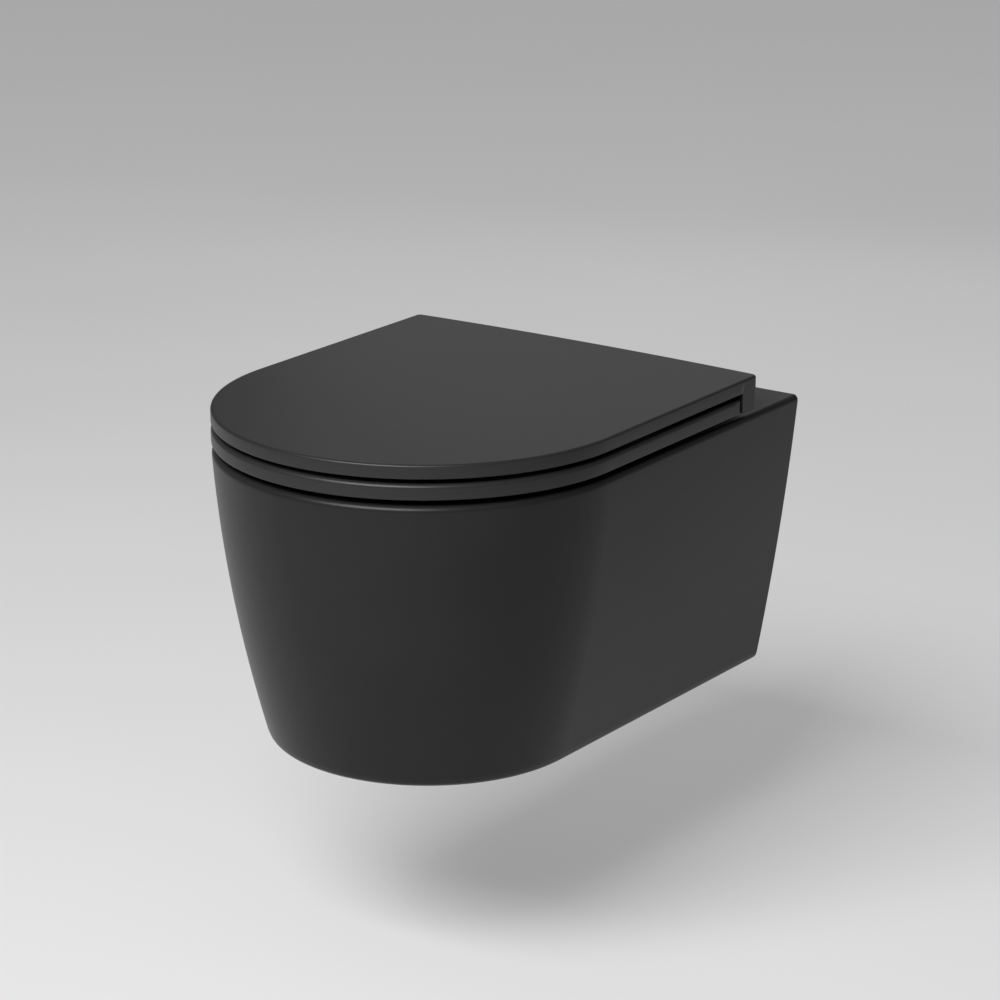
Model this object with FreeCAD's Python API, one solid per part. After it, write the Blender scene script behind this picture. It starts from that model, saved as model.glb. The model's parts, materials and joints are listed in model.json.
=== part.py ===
"""Wall hung toilet with a slim soft-close seat and lid.

Frame, in millimetres: +Z up, +X to the right of someone who faces the wall,
the wall is the plane y = 0 and the pan reaches out towards -Y.
The origin lies on the wall, midway between the two wall studs.
"""
import FreeCAD, Part
import math
import os

V = FreeCAD.Vector
X_DIR, Y_DIR, Z_DIR = V(1, 0, 0), V(0, 1, 0), V(0, 0, 1)

# ---------------------------------------------------------------- driving sizes
WIDTH = 360.0            # width of lid, seat ring and pan rim
PROJECTION = 480.0       # wall to the front of the lid
RIM_ABOVE_STUDS = 80.0   # top of the ceramic over the wall studs
PAN_HEIGHT = 254.0       # rim to underside
STUD_SPACING = 180.0     # between the wall studs
INLET_ABOVE_STUDS = 35.0
OUTLET_BELOW_STUDS = 100.0
HINGE_SPACING = 155.0    # between the seat's fixing holes
HINGE_FROM_WALL = 81.0
HINGE_ABOVE_DECK = 14.0  # height of the seat's turning axis

R_FRONT = WIDTH / 2                  # the plan is a D: half circle, then straight sides
Y_CENTRE = -(PROJECTION - R_FRONT)   # centre of the half circle
Z_RIM = RIM_ABOVE_STUDS
Z_UNDER = Z_RIM - PAN_HEIGHT
X_STUD = STUD_SPACING / 2
X_HINGE = HINGE_SPACING / 2
Y_HINGE = -HINGE_FROM_WALL
Z_HINGE = Z_RIM + HINGE_ABOVE_DECK

# ceramic walls
SKIRT_WALL = 11.0
FLOOR_WALL = 12.0
DECK_WALL = 12.0
BOWL_WALL = 9.0
PIPE_WALL = 8.0
RIM_ROUND = 5.5          # outer edge of the rim
UNDER_ROUND = 8.5        # lower edge of the skirt
SKIRT_SECTIONS = 6
PAST_WALL = 10.0         # the skirt is lofted this much too long, then cut flat at the wall

# how far the skirt draws in below the seat line: linear and square terms
LEAN_START = 4.4         # the taper is counted from this height over the rim
LEAN_FRONT = (0.0575, 0.000425)
LEAN_WALL = (0.098, 0.00018)

# bowl
COLLAR_R = 142.0         # half width of the bowl's mouth
COLLAR_BACK = -145.0
COLLAR_CORNER = 80.0
SHELF_Z = 16.0           # ledge that guides the flush round the bowl
COLLAR_DRAFT = 2.0
BOWL_R = 130.0           # half width just under the ledge
BOWL_BACK = -153.0
SUMP_R = 22.0
SUMP_Z = -163.0
SUMP_BACK = -212.0
SUMP_SHIFT = 50.0        # how far the section's centre moves back towards the sump
SUMP_CORNER = 0.58       # back corner radius as a share of the half width
SUMP_SEAM = -100.0       # height at which bowl and sump are parted
BOWL_SECTIONS = 7
BOWL_CURVE = 0.6         # power that makes the bowl steep at the ledge and flat at the sump
BACK_DROPS_BY = 0.4      # share of the depth over which the bowl's back comes forward
MOUTH_ROUND = 5.0

# trapway: a pipe that rises from the sump, turns over and drops to the outlet
TRAP_BORE = 26.0
TRAP_BEND = 40.0
TRAP_START_Y = -240.0
TRAP_BEND_Y = -215.0
TRAP_LOW_Z = -138.0
TRAP_CREST_Z = -36.0
SPIGOT_R = 51.0
SPIGOT_BORE = 43.0
SPIGOT_END = -20.0
SPIGOT_ROOT = -118.0
SPIGOT_LENGTH = 44.0     # straight length that the waste connector slides on
SPIGOT_CHAMFER = 2.0
SHOULDER_R = 54.0        # stop behind it

# flush inlet
INLET_R = 27.5
INLET_MOUTH = -30.0
INLET_DEPTH = 45.0
CHANNEL_R = 18.0
HOOD_HALF = 32.0         # hood of the distributor, in front of the channel's mouth
HOOD_FRONT, HOOD_BACK = -161.0, -147.2
HOOD_LOW, HOOD_HIGH = 18.0, 56.0
HOOD_WALL = 3.0
HOOD_ROUND = 5.0
HOOD_SLOT_HALF = 14.0    # slot that throws water down the back of the bowl
HOOD_TIE_X = 25.0        # ties that leave the side mouths open between them
HOOD_TIE_THICK = 3.0
HOOD_TIE_HEIGHT = 8.0
NECK_BACK = -100.0

# fixing tunnels for the wall brackets
TUNNEL_R = 17.0
TUNNEL_DEPTH = 84.0
BOSS_HALF = 25.0
BOSS_DEPTH = 96.0
WEB_DEPTH = 60.0
WEB_THICK = 20.0         # upright web from block to deck
TIE_THICK = 16.0         # level web from block to skirt
BOSS_ROUND = 7.0
LOCK_Y = -38.0           # place of the lock screw along the bracket
ACCESS_R = 9.0

# wall bracket and its hardware
BRACKET_R = 15.5
BRACKET_LENGTH = 60.0
STUD_HOLE_R = 6.5
NUT_BORE_R = 6.0
NUT_FLATS = 19.0
NUT_HEIGHT = 10.0
WASHER_R = 12.0
WASHER_THICK = 2.5
SLEEVE_GAP = 0.1
SLEEVE_IN = 2.0          # the sleeve starts and ends this far inside the tunnel
SLEEVE_HOLE_R = 6.5
LOCK_R = 4.0
LOCK_TIP = -11.4         # heights of the lock screw, from the middle of the bracket
LOCK_CONE = -15.5
LOCK_FOOT = -44.0
LOCK_SOCKET = 4.0
DIMPLE_R = 5.5
DIMPLE_DEPTH = 6.0
BUSH_R = 8.0
BUSH_FLANGE_R = 10.5
BUSH_FLANGE = 2.5
CAP_R = 11.8
CAP_THICK = 1.6
CAP_PLUG = 9.0           # how far the cap's rim reaches into the access hole

# seat ring and lid, heights over the rim
SEAT_LOW, SEAT_HIGH = 5.5, 18.5
LID_LOW, LID_HIGH = 23.0, 34.5
LID_CROWN = 1.84
LID_PLATE = 5.5
LID_FLANGE = 7.0
LID_EDGE_ROUND = 1.7
LID_BACK = -70.0
BLOCK_FRONT = -94.5
BLOCK_LOW = 5.0
BLOCK_CORNER = 5.0
BLOCK_FRONT_ROUND, BLOCK_BACK_ROUND = 2.5, 6.0
BLOCK_WALL = 4.0
SEAT_BACK = -98.5
SEAT_HOLE_R = 118.0
SEAT_HOLE_BACK = -162.0
SEAT_HOLE_CORNER = 70.0
SEAT_DISH = 3.5          # the top sinks this much from the edge to the middle line
SEAT_EDGE_ROUND = 3.6
SEAT_UNDER_ROUND = 1.2
SEAT_MOUTH_ROUND = 3.0
SEAT_SHELL = 4.5

# hinge, measured outward from each post and up from the deck
HUB_HALF = 9.5
HUB_BARREL_R = 9.5
HUB_OUT = 16.5
HUB_FRONT, HUB_REAR = -13.5, 10.5
HUB_LOW = 3.7
HUB_ROUND = 2.5
HUB_BARREL_CHAMFER = 0.8
HUB_SLOT_FRONT = -12.0
HUB_RECESS_R = 8.1       # clearance over the post's hexagon collar
SOCKET_IN = 6.5          # keyed socket for the damper shaft
SOCKET_DEPTH = 11.0
POST_R = 5.0
POST_TOP = 14.0
NECK_R = 3.6
NECK_LOW, NECK_HIGH = 7.6, 9.7
PLATE_LOW, PLATE_HIGH = 7.85, 9.45
FIT_GAP = 0.05
COLLAR_FLATS = 13.0
GASKET_THICK = 1.0
BASE_TOP = 3.3
POST_STUD_R = 3.9
POST_FOOT = -44.0        # heights of the seat's fixings, from the deck
EXPANDER_LOW = -27.0
NUT_LOW = -38.0
NUT_WIDE = 8.5
COLLAR_HIGH = 1.4
BASE_R = 17.0
BASE_REAR = 11.0         # flat at the back of disc and gasket, clear of the opened lid
DECK_HOLE_R = 7.5
POCKET_IN, POCKET_OUT = 42.0, 108.0
POCKET_TOP = 27.5
CROWN_PAST = 12.0        # the crowned tool runs this much past the lid
KNUCKLE_IN, KNUCKLE_OUT = 95.0, 107.0
KNUCKLE_R = 9.5
ARM_TOP = 17.0
ARM_START = 6.0          # overlap of the seat's arms and the ring
LATCH_HALF = 5.9         # half width of latch plate and release button
LATCH_FRONT, LATCH_REAR = -8.0, 8.6
LATCH_HOLE_R = 5.2
LATCH_HOLE_FRONT, LATCH_HOLE_REAR = 1.4, 2.4   # centres of the slotted hole's two ends
TONGUE_HALF = 3.5
TONGUE_END = 10.2
BUTTON_FRONT, BUTTON_REAR = 8.75, 11.5
BUTTON_LOW, BUTTON_HIGH = 5.3, 11.9
BUTTON_ROUND = 0.8
BUTTON_PLAY = 0.3        # round the button in the hub
SPRING_FRONT, SPRING_BOW = -11.9, -8.05
SPRING_HALF = 5.0
SPRING_THICK = 0.35
SPRING_HIGH = 1.4

# soft-close cartridge
CASE_R = 7.5
CASE_BORE = 6.0
CASE_IN, CASE_OUT = 108.8, 149.0
SHAFT_R = 3.95
SHAFT_FLAT = 2.85
ROTOR_R = 3.0
SPIGOT_KEY_R = 6.4
SPIGOT_KEY_FLAT = 5.4
SHAFT_IN = 7.0           # the shaft's keyed end, outward from the post
CASE_END = 2.5           # wall at the closed ends of the cartridge
KEY_HALF = 1.5
KEY_HIGH = 1.2           # how far the key stands out of the case
CASE_FIT = 0.06          # gap round the case in the lid's bore
RIB_HALF = 1.2           # stator rib inside the case
VANE_HALF = 1.0

# feet of seat and lid
PAD_HOLE_R = 3.0
PAD_HOLE = 6.0
PAD_PLUG = 5.5
SEAT_PAD_REACH = 161.0   # front feet, from the centre of the half circle
SEAT_PAD_ANGLE = 35.0
SEAT_PAD_X, SEAT_PAD_Y = 160.0, -175.0
SEAT_PAD_R = 8.0
SEAT_BOSS_R = 9.0
LID_PAD_INSET = 7.5      # from the inner side of the lid's edge
LID_PAD_ANGLE = 32.0
LID_PAD_Y = -190.0
LID_PAD_R = 6.0
LID_BOSS_R = 6.5

# modelling
ON_FACE = 0.01           # how close to a plane an edge lies to be picked
PAST = 1.0               # how far a cutting tool runs past the face it cuts
ARC_MIDDLE = 1 - math.sqrt(0.5)   # inset of a quarter arc's middle, per radius


# ---------------------------------------------------------------- small helpers
def block(x0, x1, y0, y1, z0, z1):
    """Box between two corners."""
    return Part.makeBox(x1 - x0, y1 - y0, z1 - z0, V(x0, y0, z0))


def rod(radius, start, direction, length):
    """Cylinder from a point along a direction."""
    return Part.makeCylinder(radius, length, start, direction)


def tube(outer, inner, start, direction, length):
    """Hollow cylinder."""
    return rod(outer, start, direction, length).cut(rod(inner, start, direction, length))


def turned(points, origin, axis=Z_DIR, radial=X_DIR):
    """Solid of revolution from (radius, height) corners."""
    corners = [origin + radial * r + axis * h for r, h in points]
    wire = Part.makePolygon(corners + [corners[0]])
    return Part.Face(wire).revolve(origin, axis, 360)


def hexagon(across_flats, start, axis, length):
    """Hexagonal prism about an axis."""
    radius = across_flats / math.sqrt(3)
    side = Z_DIR if abs(axis.z) < 0.5 else X_DIR
    other = axis.cross(side)
    turns = [math.radians(60 * i) for i in range(7)]
    corners = [start + side * (radius * math.cos(t)) + other * (radius * math.sin(t)) for t in turns]
    return Part.Face(Part.makePolygon(corners)).extrude(axis * length)


def double_d(radius, flat, start, axis, length):
    """Round bar along X with two flats, one above and one below."""
    bar = rod(radius, start, axis, length)
    low = start.x if axis.x > 0 else start.x - length
    keep = block(low, low + length, start.y - radius, start.y + radius, start.z - flat, start.z + flat)
    return bar.common(keep)


def mirrored(shape):
    """The same shape on the other side of the middle plane."""
    return shape.mirror(V(0, 0, 0), X_DIR)


def pair(shape):
    """Right and left copies as one group of separate solids."""
    return Part.makeCompound([shape, mirrored(shape)])


def joined(first, *others):
    """Union without leftover seams."""
    return first.fuse(list(others)).removeSplitter()


def edges_where(shape, test):
    """Edges whose every sample point passes the test."""
    found = []
    for edge in shape.Edges:
        span = edge.LastParameter - edge.FirstParameter
        samples = [edge.valueAt(edge.FirstParameter + span * k / 4) for k in range(5)]
        if all(test(p) for p in samples):
            found.append(edge)
    return found


def d_outline(z, radius, back, corner=0.0, centre=None):
    """Wire of a D in plan: half circle in front, straight sides, optional rounded back corners."""
    cy = Y_CENTRE if centre is None else centre
    right, left = V(radius, cy, z), V(-radius, cy, z)
    edges = [Part.Arc(right, V(0, cy - radius, z), left).toShape()]
    if corner <= 0:
        edges.append(Part.makeLine(left, V(-radius, back, z)))
        edges.append(Part.makeLine(V(-radius, back, z), V(radius, back, z)))
        edges.append(Part.makeLine(V(radius, back, z), right))
        return Part.Wire(edges)
    inset = corner * ARC_MIDDLE
    for sign in (-1, 1):
        side = V(sign * radius, back - corner, z)
        middle = V(sign * (radius - inset), back - inset, z)
        end = V(sign * (radius - corner), back, z)
        arc = Part.Arc(side, middle, end) if sign < 0 else Part.Arc(end, middle, side)
        start = left if sign < 0 else V(-(radius - corner), back, z)
        edges.append(Part.makeLine(start, side if sign < 0 else end))
        edges.append(arc.toShape())
    edges.append(Part.makeLine(V(radius, back - corner, z), right))
    return Part.Wire(edges)


def d_prism(low, high, radius, back, corner=0.0):
    """Upright prism on a D outline."""
    return Part.Face(d_outline(low, radius, back, corner)).extrude(Z_DIR * (high - low))


def d_sweep(profile, back):
    """Carry a half section, drawn in the X-Z plane, round the front and along both sides."""
    front = profile.revolve(V(0, Y_CENTRE, 0), Z_DIR, -180)
    right = profile.extrude(Y_DIR * (back - Y_CENTRE))
    return joined(front, right, mirrored(right))


def half_section(corners, crown=None):
    """Face in the X-Z plane at the centre of the front circle. crown bends the last side."""
    points = [V(x, Y_CENTRE, z) for x, z in corners]
    edges = [Part.makeLine(a, b) for a, b in zip(points, points[1:])]
    if crown is None:
        edges.append(Part.makeLine(points[-1], points[0]))
    else:
        edges.append(Part.Arc(points[-1], V(crown[0], Y_CENTRE, crown[1]), points[0]).toShape())
    return Part.Face(Part.Wire(edges))


# ---------------------------------------------------------------- pan casting
def lean(terms, depth):
    """How far the skirt has drawn in at a depth."""
    return terms[0] * depth + terms[1] * depth * depth


def skirt_wire(z, inset):
    """Section of the skirt: arc in front, side lines tangent to it that run on past the wall."""
    depth = max(0.0, Z_RIM + LEAN_START - z)
    radius = R_FRONT - lean(LEAN_FRONT, depth) - inset
    half = R_FRONT - lean(LEAN_WALL, depth) - inset
    reach = -Y_CENTRE
    turn = math.atan2(reach, half) - math.acos(radius / math.hypot(half, reach))
    tx, ty = radius * math.cos(turn), Y_CENTRE + radius * math.sin(turn)
    past = half + (half - tx) * PAST_WALL / -ty
    right, left = V(tx, ty, z), V(-tx, ty, z)
    wall_right, wall_left = V(past, PAST_WALL, z), V(-past, PAST_WALL, z)
    return Part.Wire([
        Part.Arc(right, V(0, Y_CENTRE - radius, z), left).toShape(),
        Part.makeLine(left, wall_left),
        Part.makeLine(wall_left, wall_right),
        Part.makeLine(wall_right, right),
    ])


def skirt_solid(low, high, inset):
    """Loft of skirt sections between two heights, longer than the pan at the back."""
    steps = [low + (high - low) * i / (SKIRT_SECTIONS - 1) for i in range(SKIRT_SECTIONS)]
    return Part.makeLoft([skirt_wire(z, inset) for z in steps], True, False)


def smooth(t):
    """0 to 1 with level ends."""
    t = min(1.0, max(0.0, t))
    return t * t * (3 - 2 * t)


def bowl_wire(share, grow):
    """Section of the lower bowl; share runs from 0 at the ledge to 1 at the sump floor."""
    depth = 1 - (1 - share) ** (1 / BOWL_CURVE)
    z = SHELF_Z + (SUMP_Z - SHELF_Z) * depth
    radius = BOWL_R + (SUMP_R - BOWL_R) * share
    back = BOWL_BACK + (SUMP_BACK - BOWL_BACK) * smooth(depth / BACK_DROPS_BY)
    centre = Y_CENTRE + SUMP_SHIFT * depth ** 1.2
    corner = SUMP_CORNER * radius
    return d_outline(z, radius + grow, back + grow, corner + grow, centre)


def bowl_solid(grow):
    """Lower bowl, closed at both ends, grown outward for its outer skin."""
    shares = [i / (BOWL_SECTIONS - 1) for i in range(BOWL_SECTIONS)]
    body = Part.makeLoft([bowl_wire(s, grow) for s in shares], True, False)
    if grow <= 0:
        return body
    foot = bowl_wire(1.0, grow)
    return joined(body, Part.Face(foot).extrude(Z_DIR * -grow))


def collar_solid(low, high, grow):
    """Upper bowl wall, slightly narrower at the ledge than at the mouth."""
    wires = []
    for z in (low, high):
        draft = COLLAR_DRAFT * (Z_RIM - z) / (Z_RIM - SHELF_Z)
        radius = COLLAR_R - draft + grow
        wires.append(d_outline(z, radius, COLLAR_BACK - draft + grow, COLLAR_CORNER + grow))
    return Part.makeLoft(wires, True, True)


def trap_path():
    """Centre line of the trapway: out of the sump, up, over the crest and down."""
    bend, low = TRAP_BEND, TRAP_LOW_Z
    rise_y = TRAP_BEND_Y + bend
    crest_y = rise_y + bend
    half = bend * math.sqrt(0.5)
    start = V(0, TRAP_START_Y, low)
    a0, a1 = V(0, TRAP_BEND_Y, low), V(0, rise_y, low + bend)
    a_mid = V(0, TRAP_BEND_Y + half, low + bend - half)
    b0, b1 = V(0, rise_y, TRAP_CREST_Z - bend), V(0, crest_y + bend, TRAP_CREST_Z - bend)
    top = V(0, crest_y, TRAP_CREST_Z)
    end = V(0, crest_y + bend, -OUTLET_BELOW_STUDS)
    return Part.Wire([
        Part.makeLine(start, a0),
        Part.Arc(a0, a_mid, a1).toShape(),
        Part.makeLine(a1, b0),
        Part.Arc(b0, top, b1).toShape(),
        Part.makeLine(b1, end),
    ])


def trap_pipe(radius):
    """Round pipe of one radius along the trapway."""
    path = trap_path()
    ring = Part.Wire([Part.makeCircle(radius, V(0, TRAP_START_Y, TRAP_LOW_Z), Y_DIR)])
    return path.makePipeShell([ring], True, False)


def fixing_bosses():
    """Ceramic blocks that take the wall brackets, tied to deck and skirt by webs."""
    boss = block(X_STUD - BOSS_HALF, X_STUD + BOSS_HALF, -BOSS_DEPTH, 0, -BOSS_HALF, BOSS_HALF)
    boss = boss.makeFillet(BOSS_ROUND, edges_where(boss, lambda p: p.y < -BOSS_DEPTH + ON_FACE))
    web, tie = WEB_THICK / 2, TIE_THICK / 2
    upright = block(X_STUD - web, X_STUD + web, -WEB_DEPTH, 0, 0, Z_RIM - RIM_ROUND)
    across = block(X_STUD, R_FRONT - SKIRT_WALL - 3, -WEB_DEPTH, 0, -tie, tie)
    return [s for one in (boss, upright, across) for s in (one, mirrored(one))]


def inlet_horn_solid():
    """Outside of the flush inlet, from its mouth to the bowl."""
    start = V(0, INLET_MOUTH, INLET_ABOVE_STUDS)
    return rod(INLET_R + PIPE_WALL, start, Y_DIR * -1, INLET_MOUTH - COLLAR_BACK - 2)


def outlet_solid():
    """Outside of the outlet: straight spigot with a chamfered end, then the stop behind it."""
    back = Y_DIR * -1
    end = V(0, SPIGOT_END, -OUTLET_BELOW_STUDS)
    spigot = rod(SPIGOT_R, end, back, SPIGOT_LENGTH + PAST)
    mouth = edges_where(spigot, lambda p: p.y > SPIGOT_END - ON_FACE)
    spigot = spigot.makeChamfer(SPIGOT_CHAMFER, mouth)
    stop_length = SPIGOT_END - SPIGOT_LENGTH - SPIGOT_ROOT + PIPE_WALL
    return joined(spigot, rod(SHOULDER_R, end + back * SPIGOT_LENGTH, back, stop_length))


def pan_casting():
    """Whole casting, open at the back: skirt, deck, rimless bowl, trapway, inlet and fixings."""
    skin = skirt_solid(Z_UNDER, Z_RIM, 0.0)
    rim_edges = edges_where(skin, lambda p: p.z > Z_RIM - ON_FACE)
    skin = skin.makeFillet(RIM_ROUND, [e for e in rim_edges if e.BoundBox.YLength > 1])
    under_edges = edges_where(skin, lambda p: p.z < Z_UNDER + ON_FACE)
    skin = skin.makeFillet(UNDER_ROUND, [e for e in under_edges if e.BoundBox.YLength > 1])
    skin = skin.common(block(-R_FRONT, R_FRONT, -PROJECTION, 0, Z_UNDER, Z_RIM))
    hollow = skirt_solid(Z_UNDER + FLOOR_WALL, Z_RIM - DECK_WALL, SKIRT_WALL)
    shell = skin.cut(hollow)

    inlet = V(0, INLET_MOUTH, INLET_ABOVE_STUDS)
    outlet = V(0, SPIGOT_END, -OUTLET_BELOW_STUDS)
    back = Y_DIR * -1
    added = [bowl_solid(BOWL_WALL), collar_solid(SHELF_Z - BOWL_WALL, Z_RIM - PAST, BOWL_WALL)]
    added += [trap_pipe(TRAP_BORE + PIPE_WALL), inlet_horn_solid(), outlet_solid()] + fixing_bosses()
    added = [piece.common(skin) for piece in added]
    body = shell.fuse(added)

    socket = rod(INLET_R, inlet, back, INLET_DEPTH)
    channel = rod(CHANNEL_R, inlet, back, INLET_MOUTH - COLLAR_BACK + 3)
    drain = rod(SPIGOT_BORE, outlet, back, SPIGOT_END - SPIGOT_ROOT)
    cuts = [collar_solid(SHELF_Z, Z_RIM, 0.0), bowl_solid(0.0), trap_pipe(TRAP_BORE)]
    cuts += [socket, channel, drain]
    for sign in (-1, 1):
        x = sign * X_STUD
        cuts.append(rod(TUNNEL_R, V(x, 0, 0), back, TUNNEL_DEPTH))
        cuts.append(rod(BUSH_R + SLEEVE_GAP, V(x, LOCK_Y, -BOSS_HALF - PAST), Z_DIR, BOSS_HALF))
        cuts.append(rod(ACCESS_R, V(x, LOCK_Y, Z_UNDER - PAST), Z_DIR, FLOOR_WALL + 2 * PAST))
        hole = V(sign * X_HINGE, Y_HINGE, Z_RIM - DECK_WALL - PAST)
        cuts.append(rod(DECK_HOLE_R, hole, Z_DIR, DECK_WALL + 2 * PAST))
    body = body.cut(cuts).removeSplitter()
    return body.makeFillet(MOUTH_ROUND, edges_where(body, on_mouth))


def on_mouth(p):
    """Whether a point lies on the edge between deck and bowl."""
    inside = math.hypot(p.x, p.y - Y_CENTRE) if p.y < Y_CENTRE else abs(p.x)
    return p.z > Z_RIM - ON_FACE and inside < COLLAR_R + ON_FACE and p.y < COLLAR_BACK + ON_FACE


def pan_pieces():
    """The casting parted as such pans are cast, before the parts are stuck together and fired.

    Deck and floor are plates with the skirt and its fixing blocks between them. Collar, bowl,
    sump, trapway and inlet horn lie inside. The floor also closes sump and trap below.
    """
    whole = pan_casting()
    low, high = Z_UNDER + FLOOR_WALL, Z_RIM - DECK_WALL

    def level(z0, z1):
        return block(-R_FRONT, R_FRONT, -PROJECTION, 0, z0, z1)

    ledge = SHELF_Z - BOWL_WALL
    collar_zone = collar_solid(ledge, high, BOWL_WALL)
    bowl_zone = bowl_solid(BOWL_WALL).common(level(low, ledge))
    inside = joined(collar_zone, bowl_zone)
    pipe_zone = joined(trap_pipe(TRAP_BORE + PIPE_WALL), outlet_solid()).common(level(low, high))
    pipe_zone = pipe_zone.cut(inside)
    horn_zone = inlet_horn_solid().common(level(low, high)).cut([inside, pipe_zone])
    return {
        "ceramic_pan": whole.common(level(low, high)).cut([inside, pipe_zone, horn_zone]),
        "ceramic_deck": whole.common(level(high, Z_RIM)),
        "ceramic_floor": whole.common(level(Z_UNDER, low)),
        "ceramic_collar": whole.common(collar_zone),
        "ceramic_bowl": whole.common(bowl_zone).common(level(SUMP_SEAM, ledge)),
        "ceramic_sump": whole.common(bowl_zone).common(level(low, SUMP_SEAM)),
        "ceramic_trapway": whole.common(pipe_zone),
        "inlet_horn": whole.common(horn_zone),
    }


def flush_distributor():
    """Moulded insert in the channel that throws the flush to both sides and down."""
    neck_start = V(0, NECK_BACK, INLET_ABOVE_STUDS)
    reach = neck_start.y - HOOD_BACK
    neck = rod(CHANNEL_R - SLEEVE_GAP, neck_start, Y_DIR * -1, reach + PAST)
    bore = rod(CHANNEL_R - HOOD_WALL, neck_start + V(0, PAST, 0), Y_DIR * -1, reach + 2 * HOOD_WALL)
    hood = block(-HOOD_HALF, HOOD_HALF, HOOD_FRONT, HOOD_BACK, HOOD_LOW, HOOD_HIGH)
    front = edges_where(hood, lambda p: p.y < HOOD_FRONT + ON_FACE)
    hood = hood.makeFillet(HOOD_ROUND, front)
    y0, y1 = HOOD_FRONT + HOOD_WALL, HOOD_BACK - HOOD_WALL
    sides = block(-HOOD_HALF - PAST, HOOD_HALF + PAST, y0, y1, HOOD_LOW + HOOD_WALL, HOOD_HIGH - HOOD_WALL)
    slot = block(-HOOD_SLOT_HALF, HOOD_SLOT_HALF, y0, y1, HOOD_LOW - PAST, HOOD_LOW + HOOD_WALL + PAST)
    body = joined(neck, hood).cut([sides, slot])
    rails = []
    for x in (-HOOD_TIE_X, HOOD_TIE_X):
        x0, x1 = x - HOOD_TIE_THICK / 2, x + HOOD_TIE_THICK / 2
        for z in (HOOD_LOW + 1, HOOD_HIGH - HOOD_TIE_HEIGHT - 1):
            rails.append(block(x0, x1, HOOD_FRONT + 1, HOOD_BACK, z, z + HOOD_TIE_HEIGHT))
    return joined(body, *rails).cut(bore)


# ---------------------------------------------------------------- concealed wall fixing
def wall_brackets():
    """Steel bodies screwed to the wall studs; a dimple below takes the lock screw."""
    body = rod(BRACKET_R, V(X_STUD, 0, 0), Y_DIR * -1, BRACKET_LENGTH)
    ends = edges_where(body, lambda p: p.y < ON_FACE - BRACKET_LENGTH)
    body = body.makeChamfer(1.5, ends)
    hole = rod(STUD_HOLE_R, V(X_STUD, PAST, 0), Y_DIR * -1, BRACKET_LENGTH + 2 * PAST)
    dimple_start = V(X_STUD, LOCK_Y, -BRACKET_R - PAST / 2)
    dimple = Part.makeCone(DIMPLE_R, 1.0, DIMPLE_DEPTH, dimple_start, Z_DIR)
    return pair(body.cut([hole, dimple]))


def bracket_sleeves():
    """Plastic liners between the brackets and the ceramic tunnels."""
    start = V(X_STUD, -SLEEVE_IN, 0)
    length = BRACKET_LENGTH - 2 * SLEEVE_IN
    liner = tube(TUNNEL_R - SLEEVE_GAP, BRACKET_R + SLEEVE_GAP, start, Y_DIR * -1, length)
    hole_start = V(X_STUD, LOCK_Y, -TUNNEL_R - PAST)
    return pair(liner.cut(rod(SLEEVE_HOLE_R, hole_start, Z_DIR, DIMPLE_DEPTH)))


def bracket_washers():
    """Washers under the stud nuts."""
    start = V(X_STUD, -BRACKET_LENGTH, 0)
    return pair(tube(WASHER_R, STUD_HOLE_R, start, Y_DIR * -1, WASHER_THICK))


def stud_nuts():
    """Nuts for the wall studs."""
    start = V(X_STUD, -BRACKET_LENGTH - WASHER_THICK, 0)
    nut = hexagon(NUT_FLATS, start, Y_DIR * -1, NUT_HEIGHT)
    return pair(nut.cut(rod(NUT_BORE_R, start + V(0, PAST, 0), Y_DIR * -1, NUT_HEIGHT + 2 * PAST)))


def lock_bushes():
    """Flanged threaded bushes in the underside of the ceramic blocks."""
    foot, seat = -BOSS_HALF - BUSH_FLANGE, -BOSS_HALF - FIT_GAP
    top = -TUNNEL_R - 4 * SLEEVE_GAP
    outline = [(LOCK_R, foot), (BUSH_FLANGE_R, foot), (BUSH_FLANGE_R, seat), (BUSH_R, seat),
               (BUSH_R, top), (LOCK_R, top)]
    return pair(turned(outline, V(X_STUD, LOCK_Y, 0)))


def lock_screws():
    """Pointed grub screws that pull the pan to the wall, with a hexagon socket below."""
    radius = LOCK_R - FIT_GAP
    outline = [(0, LOCK_FOOT), (radius - 0.5, LOCK_FOOT), (radius, LOCK_FOOT + 0.5),
               (radius, LOCK_CONE), (1.0, LOCK_TIP), (0, LOCK_TIP)]
    screw = turned(outline, V(X_STUD, LOCK_Y, 0))
    socket = hexagon(LOCK_SOCKET, V(X_STUD, LOCK_Y, LOCK_FOOT - PAST), Z_DIR, 1.5 * LOCK_SOCKET)
    return pair(screw.cut(socket))


def access_caps():
    """Push-in caps that close the access holes in the underside."""
    plug, wall = ACCESS_R - SLEEVE_GAP, ACCESS_R - CAP_THICK
    outline = [(0, -CAP_THICK), (CAP_R - 1, -CAP_THICK), (CAP_R, 1 - CAP_THICK), (CAP_R, -FIT_GAP),
               (plug, -FIT_GAP), (plug, CAP_PLUG), (wall, CAP_PLUG), (wall, CAP_THICK), (0, CAP_THICK)]
    return pair(turned(outline, V(X_STUD, LOCK_Y, Z_UNDER)))


# ---------------------------------------------------------------- seat fixing in the deck
def hinge_place(sign=1):
    """Point on the deck under a hinge post."""
    return V(sign * X_HINGE, Y_HINGE, Z_RIM)


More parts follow.
